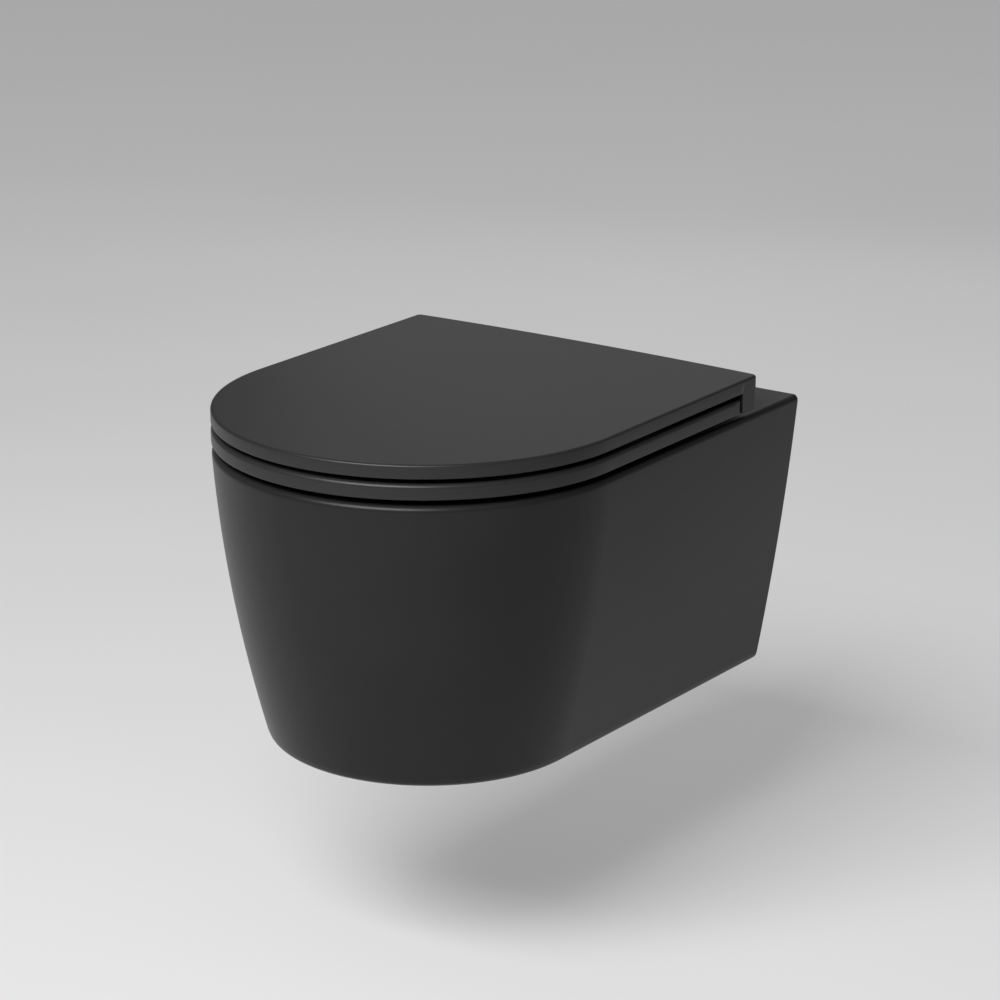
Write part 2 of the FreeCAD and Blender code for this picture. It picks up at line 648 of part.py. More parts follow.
def hinge_posts():
    """Turned posts: stud below, hexagon collar, grooved pillar that the hub drops on."""
    low, stud = BASE_TOP, POST_STUD_R
    outline = [(0, POST_FOOT), (stud - 0.5, POST_FOOT), (stud, POST_FOOT + 0.5), (stud, low),
               (POST_R, low), (POST_R, NECK_LOW), (NECK_R, NECK_LOW), (NECK_R, NECK_HIGH),
               (POST_R, NECK_HIGH), (POST_R, POST_TOP - 1.2), (POST_R - 1.2, POST_TOP), (0, POST_TOP)]
    post = turned(outline, hinge_place())
    collar = hexagon(COLLAR_FLATS, hinge_place() + V(0, 0, low), Z_DIR, COLLAR_HIGH)
    return pair(joined(post, collar))


def base_plates():
    """Stainless discs with a soft outer edge, under the posts."""
    bore, low = POST_STUD_R + 2 * FIT_GAP, GASKET_THICK
    outline = [(bore, low), (BASE_R - 0.6, low), (BASE_R, low + 0.6),
               (BASE_R, BASE_TOP - 0.9), (BASE_R - 1.6, BASE_TOP), (bore, BASE_TOP)]
    return pair(turned(outline, hinge_place()).common(ahead_of_lid()))


def ahead_of_lid():
    """Space round a hinge post that the opened lid doesn't reach."""
    x = X_HINGE
    return block(x - BASE_R, x + BASE_R, Y_HINGE - BASE_R, Y_HINGE + BASE_REAR, Z_RIM, Z_RIM + BASE_TOP)


def plate_gaskets():
    """Soft rings between the discs and the ceramic."""
    ring = tube(BASE_R - 1, POST_STUD_R + 0.3, hinge_place(), Z_DIR, GASKET_THICK)
    return pair(ring.common(ahead_of_lid()))


def expansion_bushes():
    """Rubber bushes that swell in the deck holes."""
    bore, body = POST_STUD_R + 0.2, DECK_HOLE_R - SLEEVE_GAP
    low, top = EXPANDER_LOW, -0.2
    outline = [(bore, low), (body - 0.4, low), (body, low + 2), (body, -1), (body - 0.4, top), (bore, top)]
    return pair(turned(outline, hinge_place()))


def cone_nuts():
    """Nuts that draw up into the rubber bushes."""
    bore, top = POST_STUD_R + FIT_GAP, EXPANDER_LOW - 0.1
    outline = [(bore, NUT_LOW), (NUT_WIDE, NUT_LOW), (NUT_WIDE, NUT_LOW + 7), (NUT_WIDE - 2, top), (bore, top)]
    return pair(turned(outline, hinge_place()))


# ---------------------------------------------------------------- hub that lifts off the post
def hub(sign):
    """Die-cast hub: foot with post bore, latch slot and button recess, barrel with keyed socket."""
    x, y, z = X_HINGE, Y_HINGE, Z_RIM
    foot = block(x - HUB_HALF, x + HUB_HALF, y + HUB_FRONT, y + HUB_REAR, z + HUB_LOW, Z_HINGE)
    front_corners = edges_where(foot, lambda p: abs(p.y - (y + HUB_FRONT)) < ON_FACE
                                and abs(abs(p.x - x) - HUB_HALF) < ON_FACE)
    foot = foot.makeFillet(HUB_ROUND, front_corners)
    barrel = rod(HUB_BARREL_R, V(x - HUB_HALF, y, Z_HINGE), X_DIR, HUB_HALF + HUB_OUT)
    inner_end = edges_where(barrel, lambda p: p.x < x - HUB_HALF + ON_FACE)
    barrel = barrel.makeChamfer(HUB_BARREL_CHAMFER, inner_end)
    body = joined(foot, barrel)
    rear, slot_half, mouth_half = y + HUB_REAR + PAST, LATCH_HALF + 0.2, LATCH_HALF + BUTTON_PLAY
    bore = rod(POST_R + FIT_GAP, V(x, y, z), Z_DIR, POST_TOP + 0.4)
    recess = rod(HUB_RECESS_R, V(x, y, z), Z_DIR, BASE_TOP + COLLAR_HIGH + 0.4)
    slot = block(x - slot_half, x + slot_half, y + HUB_SLOT_FRONT, rear,
                 z + PLATE_LOW - SLEEVE_GAP, z + PLATE_HIGH + SLEEVE_GAP)
    mouth = block(x - mouth_half, x + mouth_half, y + NECK_R + 2.4, rear,
                  z + BUTTON_LOW - BUTTON_PLAY, z + BUTTON_HIGH + BUTTON_PLAY)
    socket = double_d(SHAFT_R + FIT_GAP, SHAFT_FLAT + FIT_GAP, V(x + SOCKET_IN, y, Z_HINGE),
                      X_DIR, SOCKET_DEPTH)
    body = body.cut([bore, recess, slot, mouth, socket])
    return body if sign > 0 else mirrored(body)


def latch_plate(sign):
    """Spring steel plate; its hole's front edge sits in the post's neck."""
    x, y, z = X_HINGE, Y_HINGE, Z_RIM
    low, high, hole_r = z + PLATE_LOW, z + PLATE_HIGH, LATCH_HOLE_R
    plate = block(x - LATCH_HALF, x + LATCH_HALF, y + LATCH_FRONT, y + LATCH_REAR, low, high)
    tongue = block(x - TONGUE_HALF, x + TONGUE_HALF, y + LATCH_REAR - PAST, y + TONGUE_END, low, high)
    front, rear = y + LATCH_HOLE_FRONT, y + LATCH_HOLE_REAR
    hole = rod(hole_r, V(x, front, z), Z_DIR, POST_TOP)
    middle = block(x - hole_r, x + hole_r, front, rear, z, z + POST_TOP)
    end = rod(hole_r, V(x, rear, z), Z_DIR, POST_TOP)
    plate = joined(plate, tongue).cut([hole, middle, end])
    return plate if sign > 0 else mirrored(plate)


def release_button(sign):
    """Push button at the back of the hub that carries the latch plate's tongue."""
    x, y, z = X_HINGE, Y_HINGE, Z_RIM
    cap = block(x - LATCH_HALF, x + LATCH_HALF, y + BUTTON_FRONT, y + BUTTON_REAR,
                z + BUTTON_LOW, z + BUTTON_HIGH)
    outer = edges_where(cap, lambda p: p.y > y + BUTTON_REAR - ON_FACE)
    cap = cap.makeFillet(BUTTON_ROUND, outer)
    half = TONGUE_HALF + FIT_GAP
    slot = block(x - half, x + half, y + BUTTON_FRONT - PAST, y + TONGUE_END + SLEEVE_GAP,
                 z + PLATE_LOW - FIT_GAP, z + PLATE_HIGH + FIT_GAP)
    cap = cap.cut(slot)
    return cap if sign > 0 else mirrored(cap)


def latch_spring(sign):
    """Bowed leaf spring in front of the latch plate."""
    x, y, z = X_HINGE, Y_HINGE, Z_RIM + PLATE_LOW + SLEEVE_GAP
    ends, bow, thick, half = y + SPRING_FRONT, y + SPRING_BOW, SPRING_THICK, SPRING_HALF
    outer = Part.Arc(V(x - half, ends, z), V(x, bow, z), V(x + half, ends, z)).toShape()
    inner = Part.Arc(V(x + half - thick, ends, z), V(x, bow - thick, z), V(x - half + thick, ends, z)).toShape()
    close_right = Part.makeLine(V(x + half, ends, z), V(x + half - thick, ends, z))
    close_left = Part.makeLine(V(x - half + thick, ends, z), V(x - half, ends, z))
    leaf = Part.Face(Part.Wire([outer, close_right, inner, close_left])).extrude(Z_DIR * SPRING_HIGH)
    return leaf if sign > 0 else mirrored(leaf)


# ---------------------------------------------------------------- soft-close cartridges
def damper_case(keyed_to_lid):
    """Right-hand cartridge housing, closed outside, with a stator rib in its chamber."""
    start = V(CASE_IN, Y_HINGE, Z_HINGE)
    length = CASE_OUT - CASE_IN
    case = rod(CASE_R, start, X_DIR, length)
    chamber = rod(CASE_BORE, start + V(CASE_END, 0, 0), X_DIR, length - 2 * CASE_END)
    case = case.cut([chamber, rod(SHAFT_R + FIT_GAP, start - V(PAST, 0, 0), X_DIR, 2 * CASE_END)])
    rib = block(CASE_IN + CASE_END + 0.5, CASE_OUT - CASE_END - 0.5, Y_HINGE - RIB_HALF, Y_HINGE + RIB_HALF,
                Z_HINGE - CASE_BORE - 0.5, Z_HINGE - ROTOR_R - SLEEVE_GAP)
    case = case.fuse(rib).removeSplitter()
    if keyed_to_lid:
        key = block(CASE_IN + 4, CASE_OUT - 4, Y_HINGE - KEY_HALF, Y_HINGE + KEY_HALF,
                    Z_HINGE + CASE_R - 0.6, Z_HINGE + CASE_R + KEY_HIGH)
        return joined(case, key)
    reach = CASE_IN - KNUCKLE_IN - PAST
    spigot = double_d(SPIGOT_KEY_R, SPIGOT_KEY_FLAT, V(CASE_IN - reach, Y_HINGE, Z_HINGE),
                      X_DIR, reach + PAST)
    bore = rod(SHAFT_R + FIT_GAP, V(KNUCKLE_IN, Y_HINGE, Z_HINGE), X_DIR, CASE_IN + 4 - KNUCKLE_IN)
    return joined(case, spigot).cut(bore)


def damper_shaft():
    """Right-hand rotor: flats for the hub, round neck, rotor with one vane."""
    x0, neck_x = X_HINGE + SHAFT_IN, X_HINGE + HUB_OUT + 0.3
    key = double_d(SHAFT_R, SHAFT_FLAT, V(x0, Y_HINGE, Z_HINGE), X_DIR, neck_x - x0)
    neck = rod(SHAFT_R, V(neck_x, Y_HINGE, Z_HINGE), X_DIR, CASE_IN + 3 - neck_x)
    rotor = rod(ROTOR_R, V(CASE_IN + 2, Y_HINGE, Z_HINGE), X_DIR, CASE_OUT - CASE_IN - 2 * CASE_END)
    vane_in, vane_out = CASE_IN + CASE_END + 0.9, CASE_OUT - CASE_END - 0.9
    vane = block(vane_in, vane_out, Y_HINGE - VANE_HALF, Y_HINGE + VANE_HALF,
                 Z_HINGE, Z_HINGE + CASE_BORE - SLEEVE_GAP)
    return joined(key, neck, rotor, vane)


def seat_bush():
    """Plain bearing in the seat's right knuckle, on the lid damper's shaft."""
    start = V(KNUCKLE_IN + 0.2, Y_HINGE, Z_HINGE)
    return tube(SPIGOT_KEY_R, SHAFT_R + FIT_GAP, start, X_DIR, KNUCKLE_OUT - KNUCKLE_IN - 0.4)


# ---------------------------------------------------------------- seat ring
def seat_section():
    """Half section of the ring before its hole is cut: dished top, rounded outer edges."""
    low, high = Z_RIM + SEAT_LOW, Z_RIM + SEAT_HIGH
    top, under, k = SEAT_EDGE_ROUND, SEAT_UNDER_ROUND, ARC_MIDDLE

    def at(x, z):
        return V(x, Y_CENTRE, z)

    outer, mid = R_FRONT, (R_FRONT - top) / 2
    return Part.Face(Part.Wire([
        Part.makeLine(at(0, high - SEAT_DISH), at(0, low)),
        Part.makeLine(at(0, low), at(outer - under, low)),
        Part.Arc(at(outer - under, low), at(outer - under * k, low + under * k), at(outer, low + under)).toShape(),
        Part.makeLine(at(outer, low + under), at(outer, high - top)),
        Part.Arc(at(outer, high - top), at(outer - top * k, high - top * k), at(outer - top, high)).toShape(),
        Part.Arc(at(outer - top, high), at(mid, high - 0.75 * SEAT_DISH), at(0, high - SEAT_DISH)).toShape(),
    ]))


def seat_ring():
    """Ring with a dished top, hollow underneath, and a knuckle at each hinge."""
    low, high = Z_RIM + SEAT_LOW, Z_RIM + SEAT_HIGH
    ring = d_sweep(seat_section(), SEAT_BACK)
    hole = d_prism(low - PAST, high + PAST, SEAT_HOLE_R, SEAT_HOLE_BACK, SEAT_HOLE_CORNER)
    ring = ring.cut(hole)
    inner_top = edges_where(ring, lambda p: p.z > high - SEAT_DISH - 0.1 and inside_d(p, SEAT_HOLE_R))
    ring = ring.makeFillet(SEAT_MOUTH_ROUND, inner_top)
    trough_top = high - SEAT_DISH - SEAT_SHELL
    trough = d_prism(low - PAST, trough_top, R_FRONT - SEAT_SHELL, SEAT_BACK - SEAT_SHELL, 3.0)
    core = d_prism(low - 2 * PAST, trough_top + PAST, SEAT_HOLE_R + SEAT_SHELL,
                   SEAT_HOLE_BACK + SEAT_SHELL, SEAT_HOLE_CORNER + SEAT_SHELL)
    ring = ring.cut(trough.cut(core))
    bodies = [ring]
    bodies += [rod(SEAT_BOSS_R, place, Z_DIR, trough_top - low + PAST) for place in seat_pad_places()]
    for sign in (-1, 1):
        arm = block(KNUCKLE_IN, KNUCKLE_OUT, SEAT_BACK - ARM_START, Y_HINGE, low, Z_RIM + ARM_TOP)
        knuckle = rod(KNUCKLE_R, V(KNUCKLE_IN, Y_HINGE, Z_HINGE), X_DIR, KNUCKLE_OUT - KNUCKLE_IN)
        bodies += [arm, knuckle] if sign > 0 else [mirrored(arm), mirrored(knuckle)]
    ring = joined(*bodies)
    length = KNUCKLE_OUT - KNUCKLE_IN + 2 * PAST
    round_bore = rod(SPIGOT_KEY_R + FIT_GAP, V(KNUCKLE_IN - PAST, Y_HINGE, Z_HINGE), X_DIR, length)
    keyed_bore = double_d(SPIGOT_KEY_R + FIT_GAP, SPIGOT_KEY_FLAT + FIT_GAP,
                          V(-KNUCKLE_OUT - PAST, Y_HINGE, Z_HINGE), X_DIR, length)
    plugs = [rod(PAD_HOLE_R, place, Z_DIR, PAD_HOLE) for place in seat_pad_places()]
    return ring.cut([round_bore, keyed_bore] + plugs)


def edge_of_d(point, radius):
    """Whether a point lies on a D outline of this radius, front circle or straight sides."""
    if point.y < Y_CENTRE:
        return abs(math.hypot(point.x, point.y - Y_CENTRE) - radius) < 0.05
    return abs(abs(point.x) - radius) < 0.05


def inside_d(point, radius):
    """Whether a point lies on or inside a D outline of this radius."""
    if point.y < Y_CENTRE:
        return math.hypot(point.x, point.y - Y_CENTRE) < radius + 0.05
    return abs(point.x) < radius + 0.05 and point.y < SEAT_HOLE_BACK + 0.05


def pad_places(reach, angle, side_x, side_y, z):
    """Two places on an arc in front and two at the sides, the same left and right."""
    turn = math.radians(angle)
    x, y = reach * math.sin(turn), Y_CENTRE - reach * math.cos(turn)
    return [V(-x, y, z), V(x, y, z), V(-side_x, side_y, z), V(side_x, side_y, z)]


def seat_pad_places():
    """The four places where the seat rests on the ceramic."""
    return pad_places(SEAT_PAD_REACH, SEAT_PAD_ANGLE, SEAT_PAD_X, SEAT_PAD_Y, Z_RIM + SEAT_LOW)


def buffer_foot(radius, foot):
    """Outline of a soft foot with its plug; foot is how far down it reaches from its seat."""
    plug = PAD_HOLE_R - FIT_GAP
    return [(0, -foot), (radius - 2.5 * radius / SEAT_PAD_R, -foot), (radius - 0.5, 1.45 - foot),
            (radius, -FIT_GAP), (plug, -FIT_GAP), (plug, PAD_PLUG), (0, PAD_PLUG)]


def seat_buffers():
    """Soft feet under the ring with a plug each."""
    foot = SEAT_LOW - 0.15
    outline = buffer_foot(SEAT_PAD_R, foot)
    return Part.makeCompound([turned(outline, p) for p in seat_pad_places()])


# ---------------------------------------------------------------- lid
def lid_top_at(x):
    """Height of the lid's crowned top at a distance from its middle, over the rim."""
    return LID_HIGH + LID_CROWN * (1 - (x / R_FRONT) ** 2)


def crowned_prism(low, edge, radius, back, corner):
    """D prism between heights over the rim, its top crowned like the lid's."""
    wide = R_FRONT + CROWN_PAST
    drop = edge - LID_HIGH

    def crown(x):
        return Z_RIM + lid_top_at(x) + drop

    bottom = Z_RIM + low - 5 * PAST
    section = half_section([(0, crown(0)), (0, bottom), (wide, bottom), (wide, crown(wide))],
                           crown=(wide / 2, crown(wide / 2)))
    under = d_sweep(section, back + CROWN_PAST)
    return d_prism(Z_RIM + low, Z_RIM + edge + 10 * PAST, radius, back, corner).common(under)


def lid():
    """Thin crowned plate with a turned-down edge and a full-width block that hides the hinge."""
    base = Z_RIM
    body = crowned_prism(LID_LOW, LID_HIGH, R_FRONT, LID_BACK, BLOCK_CORNER)
    body = body.makeFillet(LID_EDGE_ROUND, edges_where(body, on_lid_rim))
    recess = crowned_prism(LID_LOW - PAST, LID_HIGH - LID_PLATE, R_FRONT - LID_FLANGE, BLOCK_FRONT - 4, 12.0)
    bar = rear_block().common(d_prism(base, Z_HINGE + LID_HIGH, R_FRONT, LID_BACK, BLOCK_CORNER))
    body = joined(body.cut(recess), bar)
    boss_high = LID_HIGH - LID_PLATE - LID_LOW + 3
    body = joined(body, *[rod(LID_BOSS_R, place, Z_DIR, boss_high) for place in lid_pad_places()])
    front, back, top = BLOCK_FRONT + BLOCK_WALL, LID_BACK - BLOCK_WALL, base + POCKET_TOP
    pocket = block(POCKET_IN, POCKET_OUT, BLOCK_FRONT - 8, LID_BACK + 5, base, top)
    bore = rod(CASE_R + CASE_FIT, V(POCKET_OUT - PAST, Y_HINGE, Z_HINGE), X_DIR, CASE_OUT - POCKET_OUT + 1.5)
    end = block(CASE_OUT + BLOCK_WALL, R_FRONT - 5, front, back, base, top)
    half = KEY_HALF + FIT_GAP
    keyway = block(POCKET_OUT - PAST, CASE_OUT - 3.5, Y_HINGE - half, Y_HINGE + half,
                   Z_HINGE, Z_HINGE + CASE_R + KEY_HIGH + 0.1)
    middle = block(BLOCK_WALL - POCKET_IN, POCKET_IN - BLOCK_WALL, front, back, base, top)
    cuts = [middle, keyway]
    for tool in (pocket, bore, end):
        cuts += [tool, mirrored(tool)]
    cuts += [rod(PAD_HOLE_R, place - V(0, 0, PAST), Z_DIR, PAD_HOLE + PAST) for place in lid_pad_places()]
    return body.cut(cuts)


def on_lid_rim(p):
    """Whether a point lies on the upper outer edge of the lid."""
    height = p.z - Z_RIM
    if abs(height - lid_top_at(min(abs(p.x), R_FRONT))) > 0.4 and height < LID_HIGH - 0.05:
        return False
    if height < LID_HIGH - 0.05:
        return False
    if p.y > LID_BACK - ON_FACE:
        return True
    if p.y > LID_BACK - BLOCK_CORNER - ON_FACE and abs(p.x) > R_FRONT - BLOCK_CORNER - ON_FACE:
        return True
    return edge_of_d(p, R_FRONT)


def rear_block():
    """Profile of the lid's back, carried the full width: rounded under both lower edges."""
    low, high = Z_RIM + BLOCK_LOW, Z_RIM + LID_LOW + 1
    front, back = BLOCK_FRONT, LID_BACK
    r_front, r_back, k = BLOCK_FRONT_ROUND, BLOCK_BACK_ROUND, ARC_MIDDLE
    x = -R_FRONT
    points = [V(x, front, high), V(x, front, low + r_front), V(x, front + r_front, low),
              V(x, back - r_back, low), V(x, back, low + r_back), V(x, back, high)]
    mid_front = V(x, front + r_front * k, low + r_front * k)
    mid_back = V(x, back - r_back * k, low + r_back * k)
    wire = Part.Wire([
        Part.makeLine(points[0], points[1]),
        Part.Arc(points[1], mid_front, points[2]).toShape(),
        Part.makeLine(points[2], points[3]),
        Part.Arc(points[3], mid_back, points[4]).toShape(),
        Part.makeLine(points[4], points[5]),
        Part.makeLine(points[5], points[0]),
    ])
    return Part.Face(wire).extrude(X_DIR * WIDTH)


def lid_pad_places():
    """The four places where the lid rests on the seat ring."""
    reach = R_FRONT - LID_FLANGE - LID_PAD_INSET
    return pad_places(reach, LID_PAD_ANGLE, reach, LID_PAD_Y, Z_RIM + LID_LOW)


def lid_buffers():
    """Soft feet under the lid with a plug each."""
    outline = buffer_foot(LID_PAD_R, LID_LOW - SEAT_HIGH - 0.1)
    return Part.makeCompound([turned(outline, p) for p in lid_pad_places()])


# ---------------------------------------------------------------- all nodes
def parts():
    """Every node by name."""
    shaft = damper_shaft()
    nodes = pan_pieces()
    nodes.update({
        "flush_distributor": flush_distributor(),
        "wall_brackets": wall_brackets(),
        "bracket_sleeves": bracket_sleeves(),
        "bracket_washers": bracket_washers(),
        "stud_nuts": stud_nuts(),
        "lock_bushes": lock_bushes(),
        "lock_screws": lock_screws(),
        "access_caps": access_caps(),
        "hinge_posts": hinge_posts(),
        "base_plates": base_plates(),
        "plate_gaskets": plate_gaskets(),
        "expansion_bushes": expansion_bushes(),
        "cone_nuts": cone_nuts(),
        "lid_damper_case": damper_case(True),
        "lid_damper_shaft": shaft,
        "seat_damper_case": mirrored(damper_case(False)),
        "seat_damper_shaft": mirrored(shaft),
        "seat_bush": seat_bush(),
        "seat_ring": seat_ring(),
        "seat_buffers": seat_buffers(),
        "lid": lid(),
        "lid_buffers": lid_buffers(),
    })
    for side, sign in (("right", 1), ("left", -1)):
        nodes[side + "_hub"] = hub(sign)
        nodes[side + "_latch_plate"] = latch_plate(sign)
        nodes[side + "_release_button"] = release_button(sign)
        nodes[side + "_latch_spring"] = latch_spring(sign)
    return nodes


os.makedirs("parts", exist_ok=True)
for name, shape in parts().items():
    shape.exportStep("parts/" + name + ".step")
    good = shape.isValid() and all(s.isClosed() for s in shape.Solids)
    print(name, len(shape.Solids), "solids", round(shape.Volume / 1000, 1), "cm3", "valid" if good else "BAD")
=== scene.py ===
"""Looks of a wall hung toilet: matt black ceramic pan, slim seat ring and lid.

Metres throughout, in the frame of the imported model: +Z up, the wall is y = 0 and the pan reaches
towards -Y. New surfaces are worked out from the same D-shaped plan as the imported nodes.
"""
import json
import logging
import math
from dataclasses import dataclass, field
from enum import Enum

import bmesh
import bpy
import numpy as np
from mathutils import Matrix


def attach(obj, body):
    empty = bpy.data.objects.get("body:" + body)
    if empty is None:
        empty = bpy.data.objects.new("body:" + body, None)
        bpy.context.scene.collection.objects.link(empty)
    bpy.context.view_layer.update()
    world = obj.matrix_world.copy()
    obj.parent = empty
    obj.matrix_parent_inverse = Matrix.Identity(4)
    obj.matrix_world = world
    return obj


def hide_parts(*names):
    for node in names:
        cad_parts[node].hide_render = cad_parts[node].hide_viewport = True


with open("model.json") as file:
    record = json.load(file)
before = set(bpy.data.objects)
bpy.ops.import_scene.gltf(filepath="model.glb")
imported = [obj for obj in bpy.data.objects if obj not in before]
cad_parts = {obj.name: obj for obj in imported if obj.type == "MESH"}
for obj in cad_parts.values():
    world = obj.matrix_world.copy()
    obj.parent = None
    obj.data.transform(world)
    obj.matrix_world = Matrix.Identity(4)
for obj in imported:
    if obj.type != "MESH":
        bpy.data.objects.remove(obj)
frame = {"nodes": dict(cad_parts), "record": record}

LOG = logging.getLogger("toilet")
MM = 0.001
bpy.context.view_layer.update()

HALF_WIDTH = 180.0 * MM     # half the width, and radius of the half circle in front
ARC_Y = -300.0 * MM         # y of that half circle's middle
DECK_Z = 80.0 * MM          # top of the ceramic
HINGE_Y = -81.0 * MM
HINGE_Z = 94.0 * MM
SEAT_BACK_Y = -98.5 * MM    # back of the seat ring, and of the recess under the lid
SEAT_LOW = 85.5 * MM        # lower edge of the seat ring
LID_LOW = 103.0 * MM        # lower edge of the lid's rim

PAST = 1.0 * MM             # how far a tool or a joined piece reaches past a face
ARC_MID = 0.3               # share of a small rounding at its 45 degree point
WELD_GAP = 1e-6             # points nearer than this are one point
FLAT_EDGE = 1e-7            # edges shorter than this are dissolved
SKIN_CRISP = 50.0           # degrees: sharper edges stay crisp on the glaze
SHELL_CRISP = 35.0          # and on seat and lid
MIX_FIRST, MIX_SECOND, MIX_RESULT = 6, 7, 2     # colour sockets of the Mix node


class Body(Enum):
    """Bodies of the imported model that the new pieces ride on."""

    PAN = "pan"
    SEAT = "seat"
    LID = "lid_body"


class Op(Enum):
    """How one closed mesh is combined with another."""

    ADD = "UNION"
    CUT = "DIFFERENCE"
    KEEP = "INTERSECT"


# ------------------------------------------------------------------ plan and profiles
@dataclass(frozen=True)
class DPlan:
    """A D seen from above: half circle in front, straight sides, rounded back corners."""

    radius: float
    back: float
    corner: float
    centre: float = ARC_Y
    least_corner: float = 0.2 * MM
    arc_steps: int = 192
    side_steps: int = 56
    corner_steps: int = 10
    back_steps: int = 64

    def loop(self, inset: float = 0.0,
             back_inset: float | None = None) -> tuple[np.ndarray, np.ndarray]:
        """Points of the closed outline moved inward, and their outward directions.

        The half circle is centre + radius * (cos t, sin t) for t from 0 to -pi, then come the left
        side, the left corner, the back, the right corner and the right side.

        Args:
            inset: how far the outline moves inward.
            back_inset: how far its back moves, when that differs.

        Returns:
            Points and unit outward normals, each of shape (count, 2).
        """
        radius = self.radius - inset
        back = self.back - (inset if back_inset is None else back_inset)
        corner = max(self.corner - inset, self.least_corner)
        turn = np.linspace(0.0, -math.pi, self.arc_steps, endpoint=False)
        arc_n = np.stack([np.cos(turn), np.sin(turn)], 1)
        arc = np.array([0.0, self.centre]) + radius * arc_n
        side_y = np.linspace(self.centre, back - corner, self.side_steps, endpoint=False)
        left = np.stack([np.full_like(side_y, -radius), side_y], 1)
        quarter = np.linspace(math.pi, math.pi / 2, self.corner_steps, endpoint=False)
        left_cn = np.stack([np.cos(quarter), np.sin(quarter)], 1)
        left_c = np.array([-radius + corner, back - corner]) + corner * left_cn
        back_x = np.linspace(-radius + corner, radius - corner, self.back_steps, endpoint=False)
        rear = np.stack([back_x, np.full_like(back_x, back)], 1)
        quarter_r = np.linspace(math.pi / 2, 0.0, self.corner_steps, endpoint=False)
        right_cn = np.stack([np.cos(quarter_r), np.sin(quarter_r)], 1)
        right_c = np.array([radius - corner, back - corner]) + corner * right_cn
        side_r = np.linspace(back - corner, self.centre, self.side_steps, endpoint=False)
        right = np.stack([np.full_like(side_r, radius), side_r], 1)
        points = np.concatenate([arc, left, left_c, rear, right_c, right])
        normals = np.concatenate([
            arc_n, np.tile([-1.0, 0.0], (len(left), 1)), left_cn,
            np.tile([0.0, 1.0], (len(rear), 1)), right_cn, np.tile([1.0, 0.0], (len(right), 1)),
        ])
        return points, normals

    def reach(self, points: np.ndarray) -> np.ndarray:
        """Distance from the middle line: along x beside the sides, radial in front.

        Args:
            points: array of shape (..., 2 or 3).

        Returns:
            Distances, one per point.
        """
        x, y = points[..., 0], points[..., 1]
        return np.where(y < self.centre, np.hypot(x, y - self.centre), np.abs(x))


def rounding(radius: float, start: float, stop: float, steps: int) -> np.ndarray:
    """Offsets along a circular edge: (radius * cos t, radius * sin t) from one angle to another.

    Args:
        radius: radius of the rounding.
        start: first angle in degrees.
        stop: last angle in degrees.
        steps: number of points.

    Returns:
        Array of shape (steps, 2).
    """
    turn = np.radians(np.linspace(start, stop, steps))
    return radius * np.stack([np.cos(turn), np.sin(turn)], 1)


# ------------------------------------------------------------------ meshes
def grid_faces(rows: int, columns: int, wrap: bool) -> np.ndarray:
    """Quads between neighbouring rows of a grid of points.

    Args:
        rows: number of rows.
        columns: points in each row.
        wrap: whether the last column joins the first.

    Returns:
        Array of shape (faces, 4).
    """
    last = columns if wrap else columns - 1
    i, j = np.meshgrid(np.arange(rows - 1), np.arange(last), indexing="ij")
    k = (j + 1) % columns
    quads = [i * columns + j, i * columns + k, (i + 1) * columns + k, (i + 1) * columns + j]
    return np.stack(quads, -1).reshape(-1, 4)


def new_mesh(name: str, points: np.ndarray, faces: list[list[int]] | np.ndarray) -> bpy.types.Mesh:
    """Puts points and faces into a mesh.

    Args:
        name: name of the mesh.
        points: array of shape (count, 3).
        faces: point indices of each face.

    Returns:
        The mesh, smooth shaded.
    """
    mesh = bpy.data.meshes.new(name)
    lists = faces.tolist() if isinstance(faces, np.ndarray) else faces
    mesh.from_pydata(points.reshape(-1, 3).tolist(), [], lists)
    mesh.polygons.foreach_set("use_smooth", np.ones(len(mesh.polygons), bool))
    mesh.update()
    return mesh


def closed_stack(name: str, rings: np.ndarray, cap_first: bool, cap_last: bool,
                 wrap_rings: bool = False) -> bpy.types.Mesh:
    """Closed surface through rings of points, each end closed by a fan to its middle.

    Args:
        name: name of the mesh.
        rings: array of shape (rings, points, 3).
        cap_first: whether the first ring is closed.
        cap_last: whether the last ring is closed.
        wrap_rings: whether the last ring joins the first, as on a hoop.

    Returns:
        The mesh, normals pointing outward.
    """
    rows, columns, _ = rings.shape
    stack = np.concatenate([rings, rings[:1]]) if wrap_rings else rings
    faces = grid_faces(len(stack), columns, True)
    if wrap_rings:
        faces %= rows * columns
    points = rings.reshape(-1, 3)
    lists = faces.tolist()
    for wanted, ring, flip in ((cap_first, 0, True), (cap_last, rows - 1, False)):
        if wanted:
            middle = rings[ring].mean(0, keepdims=True)
            centre = len(points)
            points = np.concatenate([points, middle])
            j = np.arange(columns)
            k = (j + 1) % columns
            first, second = (k, j) if flip else (j, k)
            start = ring * columns
            fan = np.stack([start + first, start + second, np.full(columns, centre)], 1)
            lists += fan.tolist()
    mesh = new_mesh(name, points, lists)
    return outward(mesh)


def outward(mesh: bpy.types.Mesh) -> bpy.types.Mesh:
    """Merges doubles and turns every face of a closed mesh outward.

    Args:
        mesh: the closed mesh; it is changed.

    Returns:
        The same mesh.
    """
    work = bmesh.new()
    work.from_mesh(mesh)
    bmesh.ops.remove_doubles(work, verts=work.verts, dist=WELD_GAP)
    bmesh.ops.dissolve_degenerate(work, edges=work.edges, dist=FLAT_EDGE)
    bmesh.ops.recalc_face_normals(work, faces=work.faces)
    work.to_mesh(mesh)
    work.free()
    return mesh


